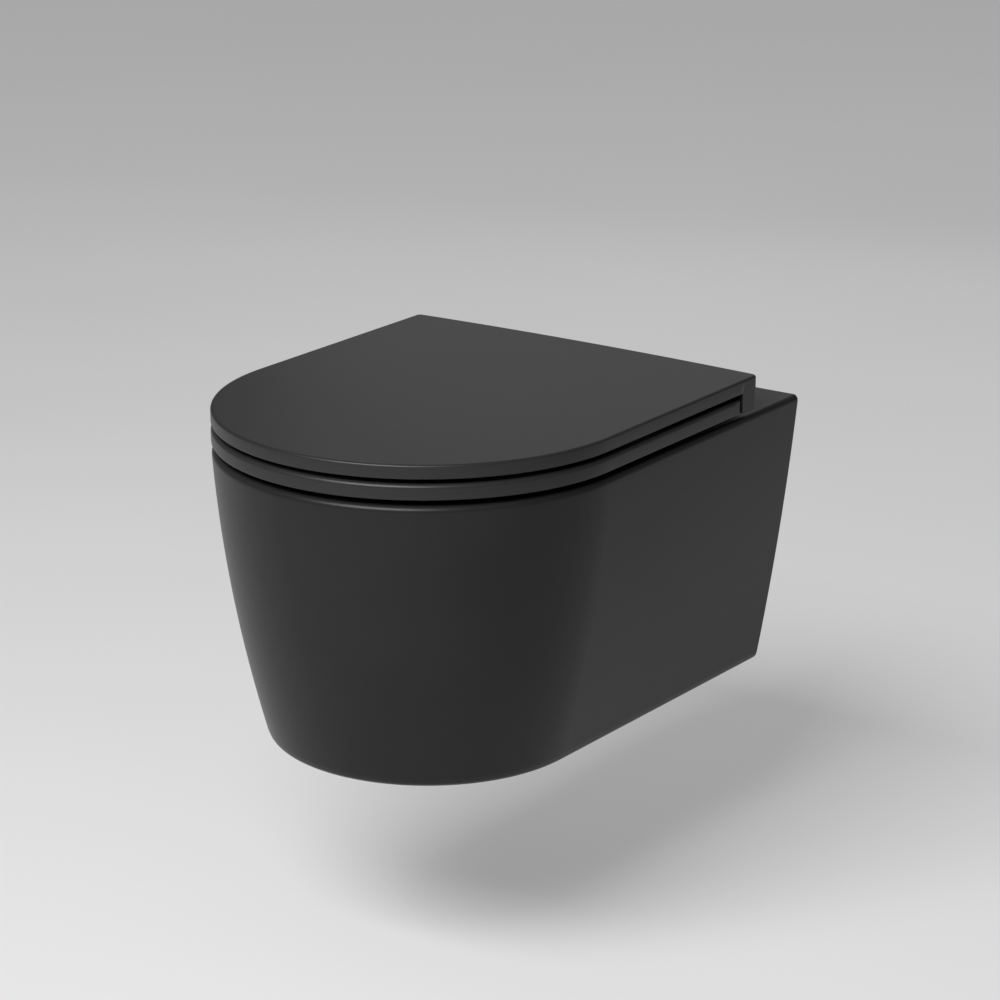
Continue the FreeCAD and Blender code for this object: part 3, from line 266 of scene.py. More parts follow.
def box_mesh(low: tuple[float, float, float], high: tuple[float, float, float]) -> bpy.types.Mesh:
    """Cutting tool: a box between two corners.

    Args:
        low: corner with the least x, y and z.
        high: the opposite corner.

    Returns:
        The closed mesh.
    """
    a, b = np.array(low), np.array(high)
    pick = np.array([[i, j, k] for i in (0, 1) for j in (0, 1) for k in (0, 1)])
    points = a + (b - a) * pick
    faces = [[0, 1, 3, 2], [4, 6, 7, 5], [0, 4, 5, 1], [2, 3, 7, 6], [0, 2, 6, 4], [1, 5, 7, 3]]
    return outward(new_mesh("tool_box", points, faces))


def bar_mesh(profile: np.ndarray, x0: float, x1: float, edge: float,
             edge_steps: int = 5) -> bpy.types.Mesh:
    """A profile in the Y-Z plane carried along X, its ends drawn in by a small rounding.

    Args:
        profile: corners (y, z) of a closed outline.
        x0: one end.
        x1: the other end.
        edge: rounding at both ends.
        edge_steps: outlines over each rounding.

    Returns:
        The closed mesh.
    """
    middle = profile.mean(0)
    size = np.abs(profile - middle).max()
    rings = []
    turn = np.radians(np.linspace(0, 90, edge_steps))
    for x, side in ((x0, 1), (x1, -1)):
        part = []
        for t in turn:
            scale = 1 - edge * (1 - math.sin(t)) / size
            place = x + side * edge * (1 - math.cos(t))
            ring = middle + (profile - middle) * scale
            part.append(np.column_stack([np.full(len(ring), place), ring]))
        rings += part if side > 0 else part[::-1]
    return closed_stack("bar", np.array(rings), True, True)


def round_bar(radius: float, start: np.ndarray, end: np.ndarray, count: int = 64,
              edge: float = 0.0) -> bpy.types.Mesh:
    """Round bar between two points, with a small rounding at both ends.

    Args:
        radius: radius of the bar.
        start: middle of one end.
        end: middle of the other end.
        count: points round the bar.
        edge: rounding at both ends.

    Returns:
        The closed mesh.
    """
    start, end = np.array(start, float), np.array(end, float)
    axis = (end - start) / np.linalg.norm(end - start)
    upright = abs(axis[2]) > 0.9
    side = np.cross(axis, [1.0, 0.0, 0.0] if upright else [0.0, 0.0, 1.0])
    side /= np.linalg.norm(side)
    other = np.cross(axis, side)
    turn = np.linspace(0, 2 * math.pi, count, endpoint=False)
    circle = np.outer(np.cos(turn), side) + np.outer(np.sin(turn), other)
    steps = [(edge, radius)]
    if edge:
        middle = edge * ARC_MID
        steps = [(0.0, radius - edge), (middle, radius - middle)] + steps
    rings = [start + axis * d + circle * r for d, r in steps]
    rings += [end - axis * d + circle * r for d, r in steps[::-1]]
    return closed_stack("round_bar", np.array(rings), True, True)


def link(name: str, mesh: bpy.types.Mesh) -> bpy.types.Object:
    """Adds an object for a mesh at the origin.

    Args:
        name: name of the object and its mesh.
        mesh: the mesh.

    Returns:
        The object.
    """
    mesh.name = name
    piece = bpy.data.objects.new(name, mesh)
    bpy.context.scene.collection.objects.link(piece)
    return piece


def settle(piece: bpy.types.Object) -> bpy.types.Object:
    """Applies the piece's modifiers to its mesh.

    Args:
        piece: the piece; its old mesh is removed.

    Returns:
        The piece.
    """
    graph = bpy.context.evaluated_depsgraph_get()
    mesh = bpy.data.meshes.new_from_object(piece.evaluated_get(graph))
    old = piece.data
    piece.modifiers.clear()
    piece.data = mesh
    mesh.name = piece.name
    bpy.data.meshes.remove(old)
    return piece


def combine(piece: bpy.types.Object, op: Op, *tools: bpy.types.Mesh) -> bpy.types.Object:
    """Adds, cuts or keeps with closed tool meshes, one after another.

    Args:
        piece: the closed piece that changes.
        op: what is done with each tool.
        tools: closed meshes; they are used up.

    Returns:
        The piece.
    """
    for mesh in tools:
        tool = link("tool", mesh)
        modifier = piece.modifiers.new("combine", "BOOLEAN")
        modifier.operation = op.value
        modifier.solver = "EXACT"
        modifier.object = tool
        settle(piece)
        bpy.data.objects.remove(tool)
        bpy.data.meshes.remove(mesh)
    return piece


def crisp(piece: bpy.types.Object, degrees: float) -> bpy.types.Object:
    """Smooth shading, with edges sharper than an angle kept crisp.

    Args:
        piece: the piece.
        degrees: the angle.

    Returns:
        The piece.
    """
    mesh = piece.data
    mesh.polygons.foreach_set("use_smooth", np.ones(len(mesh.polygons), bool))
    mesh.set_sharp_from_angle(angle=math.radians(degrees))
    return piece


# ------------------------------------------------------------------ finishes
class Nodes:
    """Small helper that writes a node tree."""

    def __init__(self, name: str) -> None:
        """Starts a material with one shader."""
        self.material = bpy.data.materials.new(name)
        self.material.use_nodes = True
        self.tree = self.material.node_tree
        self.shader = self.tree.nodes["Principled BSDF"]
        self.coords = self.tree.nodes.new("ShaderNodeTexCoord").outputs["Object"]

    def add(self, kind: str, **inputs: object) -> bpy.types.Node:
        """Adds a node; each input is a value or the output that feeds it.

        Args:
            kind: the node's type after "ShaderNode".
            inputs: socket names with underscores for spaces.

        Returns:
            The node.
        """
        node = self.tree.nodes.new("ShaderNode" + kind)
        for key, value in inputs.items():
            self.feed(node, key.replace("_", " "), value)
        return node

    def feed(self, node: bpy.types.Node, key: str, value: object) -> None:
        """Sets a socket's value or links an output to it."""
        socket = node.inputs[key]
        if isinstance(value, bpy.types.NodeSocket):
            self.tree.links.new(value, socket)
        else:
            socket.default_value = value

    def noise(self, scale: float, detail: float = 4.0, rough: float = 0.55) -> bpy.types.NodeSocket:
        """Noise over the piece, scale in cells per metre."""
        node = self.add("TexNoise", Vector=self.coords, Scale=scale, Detail=detail, Roughness=rough)
        return node.outputs["Fac"]

    def spread(self, value: bpy.types.NodeSocket, low: float, high: float,
               from_low: float = 0.3, from_high: float = 0.7) -> bpy.types.NodeSocket:
        """Maps a value from one range to another, clamped.

        Args:
            value: the output that is mapped.
            low: result at from_low.
            high: result at from_high.
            from_low: lower end of the value's range.
            from_high: upper end of the value's range.

        Returns:
            The mapped output.
        """
        node = self.add("MapRange", Value=value)
        node.inputs["From Min"].default_value = from_low
        node.inputs["From Max"].default_value = from_high
        node.inputs["To Min"].default_value = low
        node.inputs["To Max"].default_value = high
        return node.outputs["Result"]

    def blend(self, share: bpy.types.NodeSocket, first: tuple,
              second: tuple) -> bpy.types.NodeSocket:
        """Mix of two colours.

        Args:
            share: how much of the second colour is in the mix.
            first: red, green and blue.
            second: red, green and blue.

        Returns:
            The mixed colour.
        """
        node = self.tree.nodes.new("ShaderNodeMix")
        node.data_type = "RGBA"
        self.tree.links.new(share, node.inputs["Factor"])
        node.inputs[MIX_FIRST].default_value = (*first, 1.0)
        node.inputs[MIX_SECOND].default_value = (*second, 1.0)
        return node.outputs[MIX_RESULT]

    def bump(self, height: bpy.types.NodeSocket, depth: float,
             below: bpy.types.NodeSocket | None = None) -> bpy.types.NodeSocket:
        """Relief over another one, if that is given.

        Args:
            height: the output that holds the relief.
            depth: its depth in metres.
            below: normal of the relief underneath.

        Returns:
            The normal.
        """
        node = self.add("Bump", Strength=1.0, Distance=depth, Height=height)
        if below is not None:
            self.tree.links.new(below, node.inputs["Normal"])
        return node.outputs["Normal"]


def seen_rays(tree: bpy.types.NodeTree) -> bpy.types.NodeSocket:
    """One for rays that show the background to camera, gloss or glass, nought for rays that light.

    Args:
        tree: node tree that the socket is added to.

    Returns:
        camera + glossy + transmission, clamped to one.
    """
    path = tree.nodes.new("ShaderNodeLightPath")
    total = path.outputs["Is Camera Ray"]
    for kind in ("Is Glossy Ray", "Is Transmission Ray"):
        node = tree.nodes.new("ShaderNodeMath")
        node.operation, node.use_clamp = "ADD", True
        tree.links.new(total, node.inputs[0])
        tree.links.new(path.outputs[kind], node.inputs[1])
        total = node.outputs[0]
    return total


def scaled(tree: bpy.types.NodeTree, value: bpy.types.NodeSocket,
           by: float) -> bpy.types.NodeSocket:
    """Value times a factor.

    Args:
        tree: node tree that the socket is added to.
        value: the value.
        by: the factor.

    Returns:
        The product.
    """
    node = tree.nodes.new("ShaderNodeMath")
    node.operation = "MULTIPLY"
    tree.links.new(value, node.inputs[0])
    node.inputs[1].default_value = by
    return node.outputs[0]


@dataclass(frozen=True)
class MattGlaze:
    """Matt black ceramic glaze: faint mottle, slight orange peel and a fine grain.

    Scales are in cells per metre, depths in metres.
    """

    name: str = "matt_ceramic"
    dark: tuple[float, float, float] = (0.0135, 0.0135, 0.0141)
    light: tuple[float, float, float] = (0.0165, 0.0165, 0.0172)
    rough_low: float = 0.33
    rough_high: float = 0.38
    specular: float = 0.22
    cloud_scale: float = 9.0
    peel_scale: float = 190.0
    peel_depth: float = 0.04 * MM
    grain_scale: float = 900.0
    grain_depth: float = 0.016 * MM

    def build(self) -> bpy.types.Material:
        """The material: cloudy colour, uneven roughness, two scales of relief."""
        nodes = Nodes(self.name)
        cloud = nodes.noise(self.cloud_scale, 3.0)
        grain = nodes.noise(self.grain_scale, 3.0)
        share = nodes.spread(cloud, 0.0, 1.0)
        nodes.feed(nodes.shader, "Base Color", nodes.blend(share, self.dark, self.light))
        nodes.feed(nodes.shader, "Roughness", nodes.spread(grain, self.rough_low, self.rough_high))
        peel = nodes.bump(nodes.noise(self.peel_scale, 2.0), self.peel_depth)
        nodes.feed(nodes.shader, "Normal", nodes.bump(grain, self.grain_depth, peel))
        nodes.shader.inputs["Specular IOR Level"].default_value = self.specular
        return nodes.material


@dataclass(frozen=True)
class MattMoulded:
    """Matt moulded seat material: very even, with a powdery micro texture.

    Scales are in cells per metre, depths in metres.
    """

    name: str = "duroplast"
    dark: tuple[float, float, float] = (0.0185, 0.0185, 0.0192)
    light: tuple[float, float, float] = (0.0205, 0.0205, 0.0213)
    rough_low: float = 0.35
    rough_high: float = 0.40
    specular: float = 0.32
    cloud_scale: float = 5.0
    wave_scale: float = 60.0
    wave_depth: float = 0.02 * MM
    grain_scale: float = 1600.0
    grain_depth: float = 0.01 * MM

    def build(self) -> bpy.types.Material:
        """The material: slight cloud, fine grain over faint waves."""
        nodes = Nodes(self.name)
        cloud = nodes.noise(self.cloud_scale, 2.0)
        grain = nodes.noise(self.grain_scale, 2.0)
        share = nodes.spread(cloud, 0.0, 1.0)
        nodes.feed(nodes.shader, "Base Color", nodes.blend(share, self.dark, self.light))
        nodes.feed(nodes.shader, "Roughness", nodes.spread(grain, self.rough_low, self.rough_high))
        wave = nodes.bump(nodes.noise(self.wave_scale, 2.0), self.wave_depth)
        nodes.feed(nodes.shader, "Normal", nodes.bump(grain, self.grain_depth, wave))
        nodes.shader.inputs["Specular IOR Level"].default_value = self.specular
        return nodes.material


@dataclass(frozen=True)
class Plastic:
    """Moulded plastic or rubber with a fine spark-eroded grain."""

    name: str
    colour: tuple[float, float, float]
    roughness: float
    grain: float = 700.0
    depth: float = 0.02 * MM
    cloud: float = 40.0
    shade: float = 0.86
    rough_spread: float = 0.05

    def build(self) -> bpy.types.Material:
        """The material: slightly uneven colour and roughness over a grain."""
        nodes = Nodes(self.name)
        share = nodes.spread(nodes.noise(self.cloud), 0.0, 1.0)
        darker = tuple(self.shade * c for c in self.colour)
        nodes.feed(nodes.shader, "Base Color", nodes.blend(share, darker, self.colour))
        grain = nodes.noise(self.grain, 3.0)
        rough = nodes.spread(grain, self.roughness - self.rough_spread,
                             self.roughness + self.rough_spread)
        nodes.feed(nodes.shader, "Roughness", rough)
        nodes.feed(nodes.shader, "Normal", nodes.bump(grain, self.depth))
        return nodes.material


@dataclass(frozen=True)
class Metal:
    """Machined or plated metal with fine turning marks and a little wear."""

    name: str
    colour: tuple[float, float, float]
    roughness: float
    stretch: tuple[float, float, float] = (40.0, 40.0, 2500.0)
    wear_scale: float = 120.0
    wear_shade: float = 0.8
    duller_by: float = 0.08
    brighter_by: float = 0.07
    streak_depth: float = 0.012 * MM

    def build(self) -> bpy.types.Material:
        """The material: metal with streaks along one direction."""
        nodes = Nodes(self.name)
        place = nodes.add("Mapping", Vector=nodes.coords)
        place.inputs["Scale"].default_value = self.stretch
        marks = nodes.add("TexNoise", Vector=place.outputs["Vector"], Scale=1.0, Detail=3.0)
        streak = marks.outputs["Fac"]
        wear = nodes.spread(nodes.noise(self.wear_scale), 0.0, 1.0)
        duller = tuple(self.wear_shade * c for c in self.colour)
        nodes.feed(nodes.shader, "Base Color", nodes.blend(wear, duller, self.colour))
        nodes.shader.inputs["Metallic"].default_value = 1.0
        rough = nodes.spread(streak, self.roughness - self.brighter_by,
                             self.roughness + self.duller_by)
        nodes.feed(nodes.shader, "Roughness", rough)
        nodes.feed(nodes.shader, "Normal", nodes.bump(streak, self.streak_depth))
        return nodes.material


# ------------------------------------------------------------------ pan
@dataclass
class Pan:
    """Glaze of the ceramic that shows from outside: rim edge, skirt and the turn under it."""

    rim: float = DECK_Z
    under: float = -174.0 * MM
    radius: float = HALF_WIDTH
    centre: float = ARC_Y
    lean_start: float = 4.4 * MM
    lean_front: tuple[float, float] = (0.0575, 0.425)
    lean_wall: tuple[float, float] = (0.098, 0.18)
    rim_round: float = 5.5 * MM
    under_round: float = 8.5 * MM
    proud: float = 0.25 * MM
    deck_proud: float = 0.02 * MM
    thick: float = 0.6 * MM
    deck_reach: float = 3.0 * MM
    foot_reach: float = 5.0 * MM
    rim_steps: int = 15
    fade_steps: int = 5
    wall_steps: int = 72
    turn_steps: int = 17
    finish: MattGlaze = field(default_factory=MattGlaze)

    def outline(self, z: np.ndarray, inset: np.ndarray, arc_steps: int = 220,
                side_steps: int = 90) -> np.ndarray:
        """Skirt sections: an arc in front and side lines tangent to it that end at the wall.

        The radius is the rim's less a * depth + b * depth squared, and so is the half width at the
        wall with its own a and b. The sides touch the arc at the angle
        atan2(reach, half) - acos(radius / hypot(half, reach)).

        Args:
            z: heights, one per section.
            inset: how far each section lies inward of the skirt's surface.
            arc_steps: points round the arc.
            side_steps: points along each side.

        Returns:
            Array of shape (sections, points, 3), from the wall on the right round to the left.
        """
        depth = np.maximum(0.0, self.rim + self.lean_start - z)
        radius = self.radius - self.lean_front[0] * depth - self.lean_front[1] * depth ** 2 - inset
        half = self.radius - self.lean_wall[0] * depth - self.lean_wall[1] * depth ** 2 - inset
        reach = -self.centre
        touch = np.arctan2(reach, half) - np.arccos(radius / np.hypot(half, reach))
        share = np.linspace(0.0, 1.0, arc_steps)[None, :]
        turn = touch[:, None] + (-math.pi - 2 * touch[:, None]) * share
        wide = radius[:, None]
        arc = np.stack([wide * np.cos(turn), self.centre + wide * np.sin(turn)], -1)
        along = np.linspace(0.0, 1.0, side_steps, endpoint=False)[None, :, None]
        wall_right = np.stack([half, np.zeros_like(half)], 1)[:, None, :]
        wall_left = wall_right * np.array([-1.0, 1.0])
        right = wall_right + (arc[:, :1] - wall_right) * along
        left = wall_left + (arc[:, -1:] - wall_left) * along
        plan = np.concatenate([right, arc, left[:, ::-1]], 1)
        heights = np.broadcast_to(z[:, None, None], plan.shape[:2] + (1,))
        return np.concatenate([plan, heights], 2)

    def profile(self, proud: float) -> tuple[np.ndarray, np.ndarray]:
        """Heights and insets down the skirt, from the deck over the rim's round to the underside.

        On the deck the surface stands off by deck_proud only, and over the first rows of the
        rim's round the rest is added in equal steps.

        Args:
            proud: how far the surface stands off the ceramic.

        Returns:
            Heights and insets, one pair per row.
        """
        top, low = self.rim_round, self.under_round
        start = self.deck_proud * np.sign(proud)
        deck = np.array([[top + self.deck_reach, self.rim + start]])
        over = rounding(top + proud, 90.0, 0.0, self.rim_steps)
        over = np.stack([top - over[:, 0], self.rim - top + over[:, 1]], 1)
        lift = np.linspace(1.0, 0.0, self.fade_steps)[:, None] * np.array([[0.0, 1.0]])
        over[:self.fade_steps] -= lift * (proud - start)
        side_z = np.linspace(self.rim - top, self.under + low, self.wall_steps)[1:-1]
        side = np.stack([np.full_like(side_z, -proud), side_z], 1)
        turn = rounding(low + proud, 0.0, -90.0, self.turn_steps)
        turn = np.stack([low - turn[:, 0], self.under + low + turn[:, 1]], 1)
        foot = np.array([[low + self.foot_reach, self.under - proud]])
        rows = np.concatenate([deck, over, side, turn, foot])
        return rows[:, 1], rows[:, 0]

    def build(self) -> list[bpy.types.Object]:
        """The glaze skin over rim, skirt and lower edge."""
        patches = []
        for proud in (self.proud, -self.thick):
            z, inset = self.profile(proud)
            patches.append(self.outline(z, inset))
        skin = link("skirt_glaze", thick_patch("skirt_glaze", patches[0], patches[1]))
        skin.data.materials.append(self.finish.build())
        crisp(skin, SKIN_CRISP)
        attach(skin, Body.PAN.value)
        return [skin]


def thick_patch(name: str, outer: np.ndarray, inner: np.ndarray) -> bpy.types.Mesh:
    """Closed skin between an outer and an inner grid of points, joined along all four edges.

    Args:
        name: name of the mesh.
        outer: array of shape (rows, columns, 3).
        inner: array of the same shape.

    Returns:
        The mesh, normals pointing outward.
    """
    rows, columns, _ = outer.shape
    count = rows * columns
    faces = grid_faces(rows, columns, False)
    index = np.arange(count).reshape(rows, columns)
    rims = []
    for line in (index[0], index[-1][::-1], index[:, -1], index[::-1, 0]):
        rims.append(np.stack([line[:-1], line[1:], line[1:] + count, line[:-1] + count], 1))
    faces = np.concatenate([faces, faces[:, ::-1] + count, *rims])
    points = np.concatenate([outer.reshape(-1, 3), inner.reshape(-1, 3)])
    return outward(new_mesh(name, points, faces))


# ------------------------------------------------------------------ buffers' bosses
@dataclass(frozen=True)
class Feet:
    """Four bosses under a shell that hold its buffers: two along the front, one on each side."""

    z: float                # the shell's lower edge
    turn: float             # degrees of the front bosses from the middle of the front
    reach: float            # their distance from the middle of the arc
    side_x: float
    side_y: float
    radius: float
    height: float
    steps: int
    edge: float = 0.3 * MM
    bore: float = 3.0 * MM
    depth: float = 6.0 * MM
    bore_steps: int = 32

    def places(self) -> list[np.ndarray]:
        """Middles of the four bosses, on the lower edge."""
        turn = math.radians(self.turn)
        across, ahead = self.reach * math.sin(turn), self.reach * math.cos(turn)
        front = [np.array([s * across, ARC_Y - ahead, self.z]) for s in (-1, 1)]
        side = [np.array([s * self.side_x, self.side_y, self.z]) for s in (-1, 1)]
        return front + side

    def bosses(self) -> list[bpy.types.Mesh]:
        """Round bosses that reach up into the shell."""
        rise = [0.0, 0.0, self.height]
        return [round_bar(self.radius, place, place + rise, self.steps, self.edge)
                for place in self.places()]

    def bores(self) -> list[bpy.types.Mesh]:
        """Cutting tools for the buffers' holes."""
        drop, rise = [0.0, 0.0, PAST], [0.0, 0.0, self.depth]
        return [round_bar(self.bore, place - drop, place + rise, self.bore_steps)
                for place in self.places()]


# ------------------------------------------------------------------ seat ring
@dataclass
class Seat:
    """Seat ring: dished top, rounded edges, trough underneath, knuckles behind."""

    low: float = SEAT_LOW
    high: float = 98.5 * MM
    dish: float = 3.5 * MM
    dish_half_way: float = 0.75         # share of the dish left half way out
    edge: float = 3.6 * MM
    back_share: float = 0.4             # the back's rounding as a share of edge
    back_band: float = 8.0 * MM         # strip along the back that has this rounding
    under_edge: float = 1.2 * MM
    under_back_share: float = 0.6
    mouth: float = 3.0 * MM
    mouth_under: float = 0.8 * MM
    mouth_middle: float = 0.25 * MM
    shell: float = 4.5 * MM
    trough: float = 5.0 * MM
    trough_round: float = 1.5 * MM
    under_steps: int = 6
    edge_steps: int = 13
    top_steps: int = 22
    mouth_steps: int = 9
    knuckle: float = 9.5 * MM
    knuckle_in: float = 95.0 * MM
    knuckle_out: float = 107.0 * MM
    knuckle_edge: float = 0.5 * MM
    knuckle_bore: float = 6.45 * MM
    knuckle_steps: int = 48
    arm_top: float = 97.0 * MM
    arm_reach: float = 6.0 * MM
    outer: DPlan = field(default_factory=lambda: DPlan(HALF_WIDTH, SEAT_BACK_Y, 1.2 * MM))
    hole: DPlan = field(default_factory=lambda: DPlan(118 * MM, -162 * MM, 70 * MM))
    feet: Feet = field(default_factory=lambda: Feet(
        SEAT_LOW, 35.0, 161 * MM, 160 * MM, -175 * MM, 9.0 * MM, 5.6 * MM, 48))
    finish: MattMoulded = field(default_factory=MattMoulded)

    def top(self, reach: np.ndarray) -> np.ndarray:
        """Height of the dished top: a circular arc, lowest on the middle line.

        The arc passes (0, high - dish), (half way, high - dish_half_way * dish) and
        (half width - edge, high). Its circle x^2 + z^2 + a x + b z + c = 0 is solved for a, b, c.
        """
        far = self.outer.radius - self.edge
        x = np.array([0.0, far / 2, far])
        z = self.high - self.dish * np.array([1.0, self.dish_half_way, 0.0])
        known = np.stack([x, z, np.ones(3)], 1)
        a, b, c = np.linalg.solve(known, -(x ** 2 + z ** 2))
        reach = np.minimum(reach, far)
        centre_z = -b / 2
        radius_sq = a * a / 4 + b * b / 4 - c
        return centre_z - np.sqrt(radius_sq - (reach + a / 2) ** 2)

    def rings(self) -> np.ndarray:
        """Closed outlines that run once round the section of the ring."""
        rings = []

        def add(plan: DPlan, inset: float, back_inset: float, z: float | np.ndarray) -> None:
            """Adds one outline of a plan, moved inward, at a height or heights."""
            points, _ = plan.loop(inset, back_inset)
            height = np.broadcast_to(z, len(points))
            rings.append(np.column_stack([points, height]))

        under = self.under_edge
        for t in np.radians(np.linspace(-90, 0, self.under_steps)):
            gap = under * (1 - math.cos(t))
            add(self.outer, gap, self.under_back_share * gap, self.low + under * (1 + math.sin(t)))
        back_edge = self.back_share * self.edge
        for t in np.radians(np.linspace(0, 90, self.edge_steps)):
            gap = self.edge * (1 - math.cos(t))
            back = self.back_share * gap
            points, _ = self.outer.loop(gap, back)
            edge_z = self.top(self.outer.reach(points))
            behind = points[:, 1] > self.outer.back - self.back_band
            round_size = np.where(behind, back_edge, self.edge)
            add(self.outer, gap, back, edge_z - round_size * (1 - math.sin(t)))
        start, _ = self.outer.loop(self.edge, back_edge)
        stop, _ = self.hole.loop(-self.mouth)
        stop_z = self.top(self.outer.reach(stop))
        for share in np.linspace(0.0, 1.0, self.top_steps)[1:]:
            points = start + (stop - start) * share
            rings.append(np.column_stack([points, self.top(self.outer.reach(points))]))
        for t in np.radians(np.linspace(90, 0, self.mouth_steps)[1:]):
            inset = self.mouth * (math.cos(t) - 1)
            add(self.hole, inset, inset, stop_z - self.mouth * (1 - math.sin(t)))
        foot, middle = self.mouth_under, self.mouth_middle
        for inset, rise in ((0.0, foot), (-middle, middle), (-foot, 0.0)):
            add(self.hole, inset, inset, self.low + rise)
        roof, wall, soft = self.low + self.trough, self.shell, self.trough_round
        for inset, z in ((wall, self.low), (wall, roof - soft), (wall + soft, roof)):
            add(self.hole, -inset, -inset, z)
        for inset, z in ((wall + soft, roof), (wall, roof - soft), (wall, self.low)):
            add(self.outer, inset, inset, z)
        return np.array(rings)

    def arm_profile(self) -> np.ndarray:
        """Outline, in the Y-Z plane, of an arm that ends in a round knuckle."""
        y, z, r = HINGE_Y, HINGE_Z, self.knuckle
        start = math.pi - math.asin((self.arm_top - z) / r)
        stop = -math.pi + math.asin((z - self.low) / r)
        turn = np.linspace(start, stop, self.knuckle_steps)
        arc = np.stack([y + r * np.cos(turn), z + r * np.sin(turn)], 1)
        front = self.outer.back - self.arm_reach
        return np.concatenate([[[front, self.arm_top]], arc, [[front, self.low]]])

    def build(self) -> list[bpy.types.Object]:
        """The ring with its arms, the feet's bosses and the bores."""
        mesh = closed_stack("seat_shell", self.rings(), False, False, wrap_rings=True)
        seat = link("seat_shell", mesh)
        for sign in (-1, 1):
            x0, x1 = sorted((sign * self.knuckle_in, sign * self.knuckle_out))
            combine(seat, Op.ADD, bar_mesh(self.arm_profile(), x0, x1, self.knuckle_edge))
        combine(seat, Op.ADD, *self.feet.bosses())
        combine(seat, Op.CUT, *self.feet.bores())
        for sign in (-1, 1):
            ends = [[sign * x, HINGE_Y, HINGE_Z]
                    for x in (self.knuckle_in - PAST, self.knuckle_out + PAST)]
            combine(seat, Op.CUT, round_bar(self.knuckle_bore, ends[0], ends[1], 48))
        seat.data.materials.clear()
        seat.data.materials.append(self.finish.build())
        crisp(seat, SHELL_CRISP)
        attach(seat, Body.SEAT.value)
        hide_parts("seat_ring")
        return [seat]


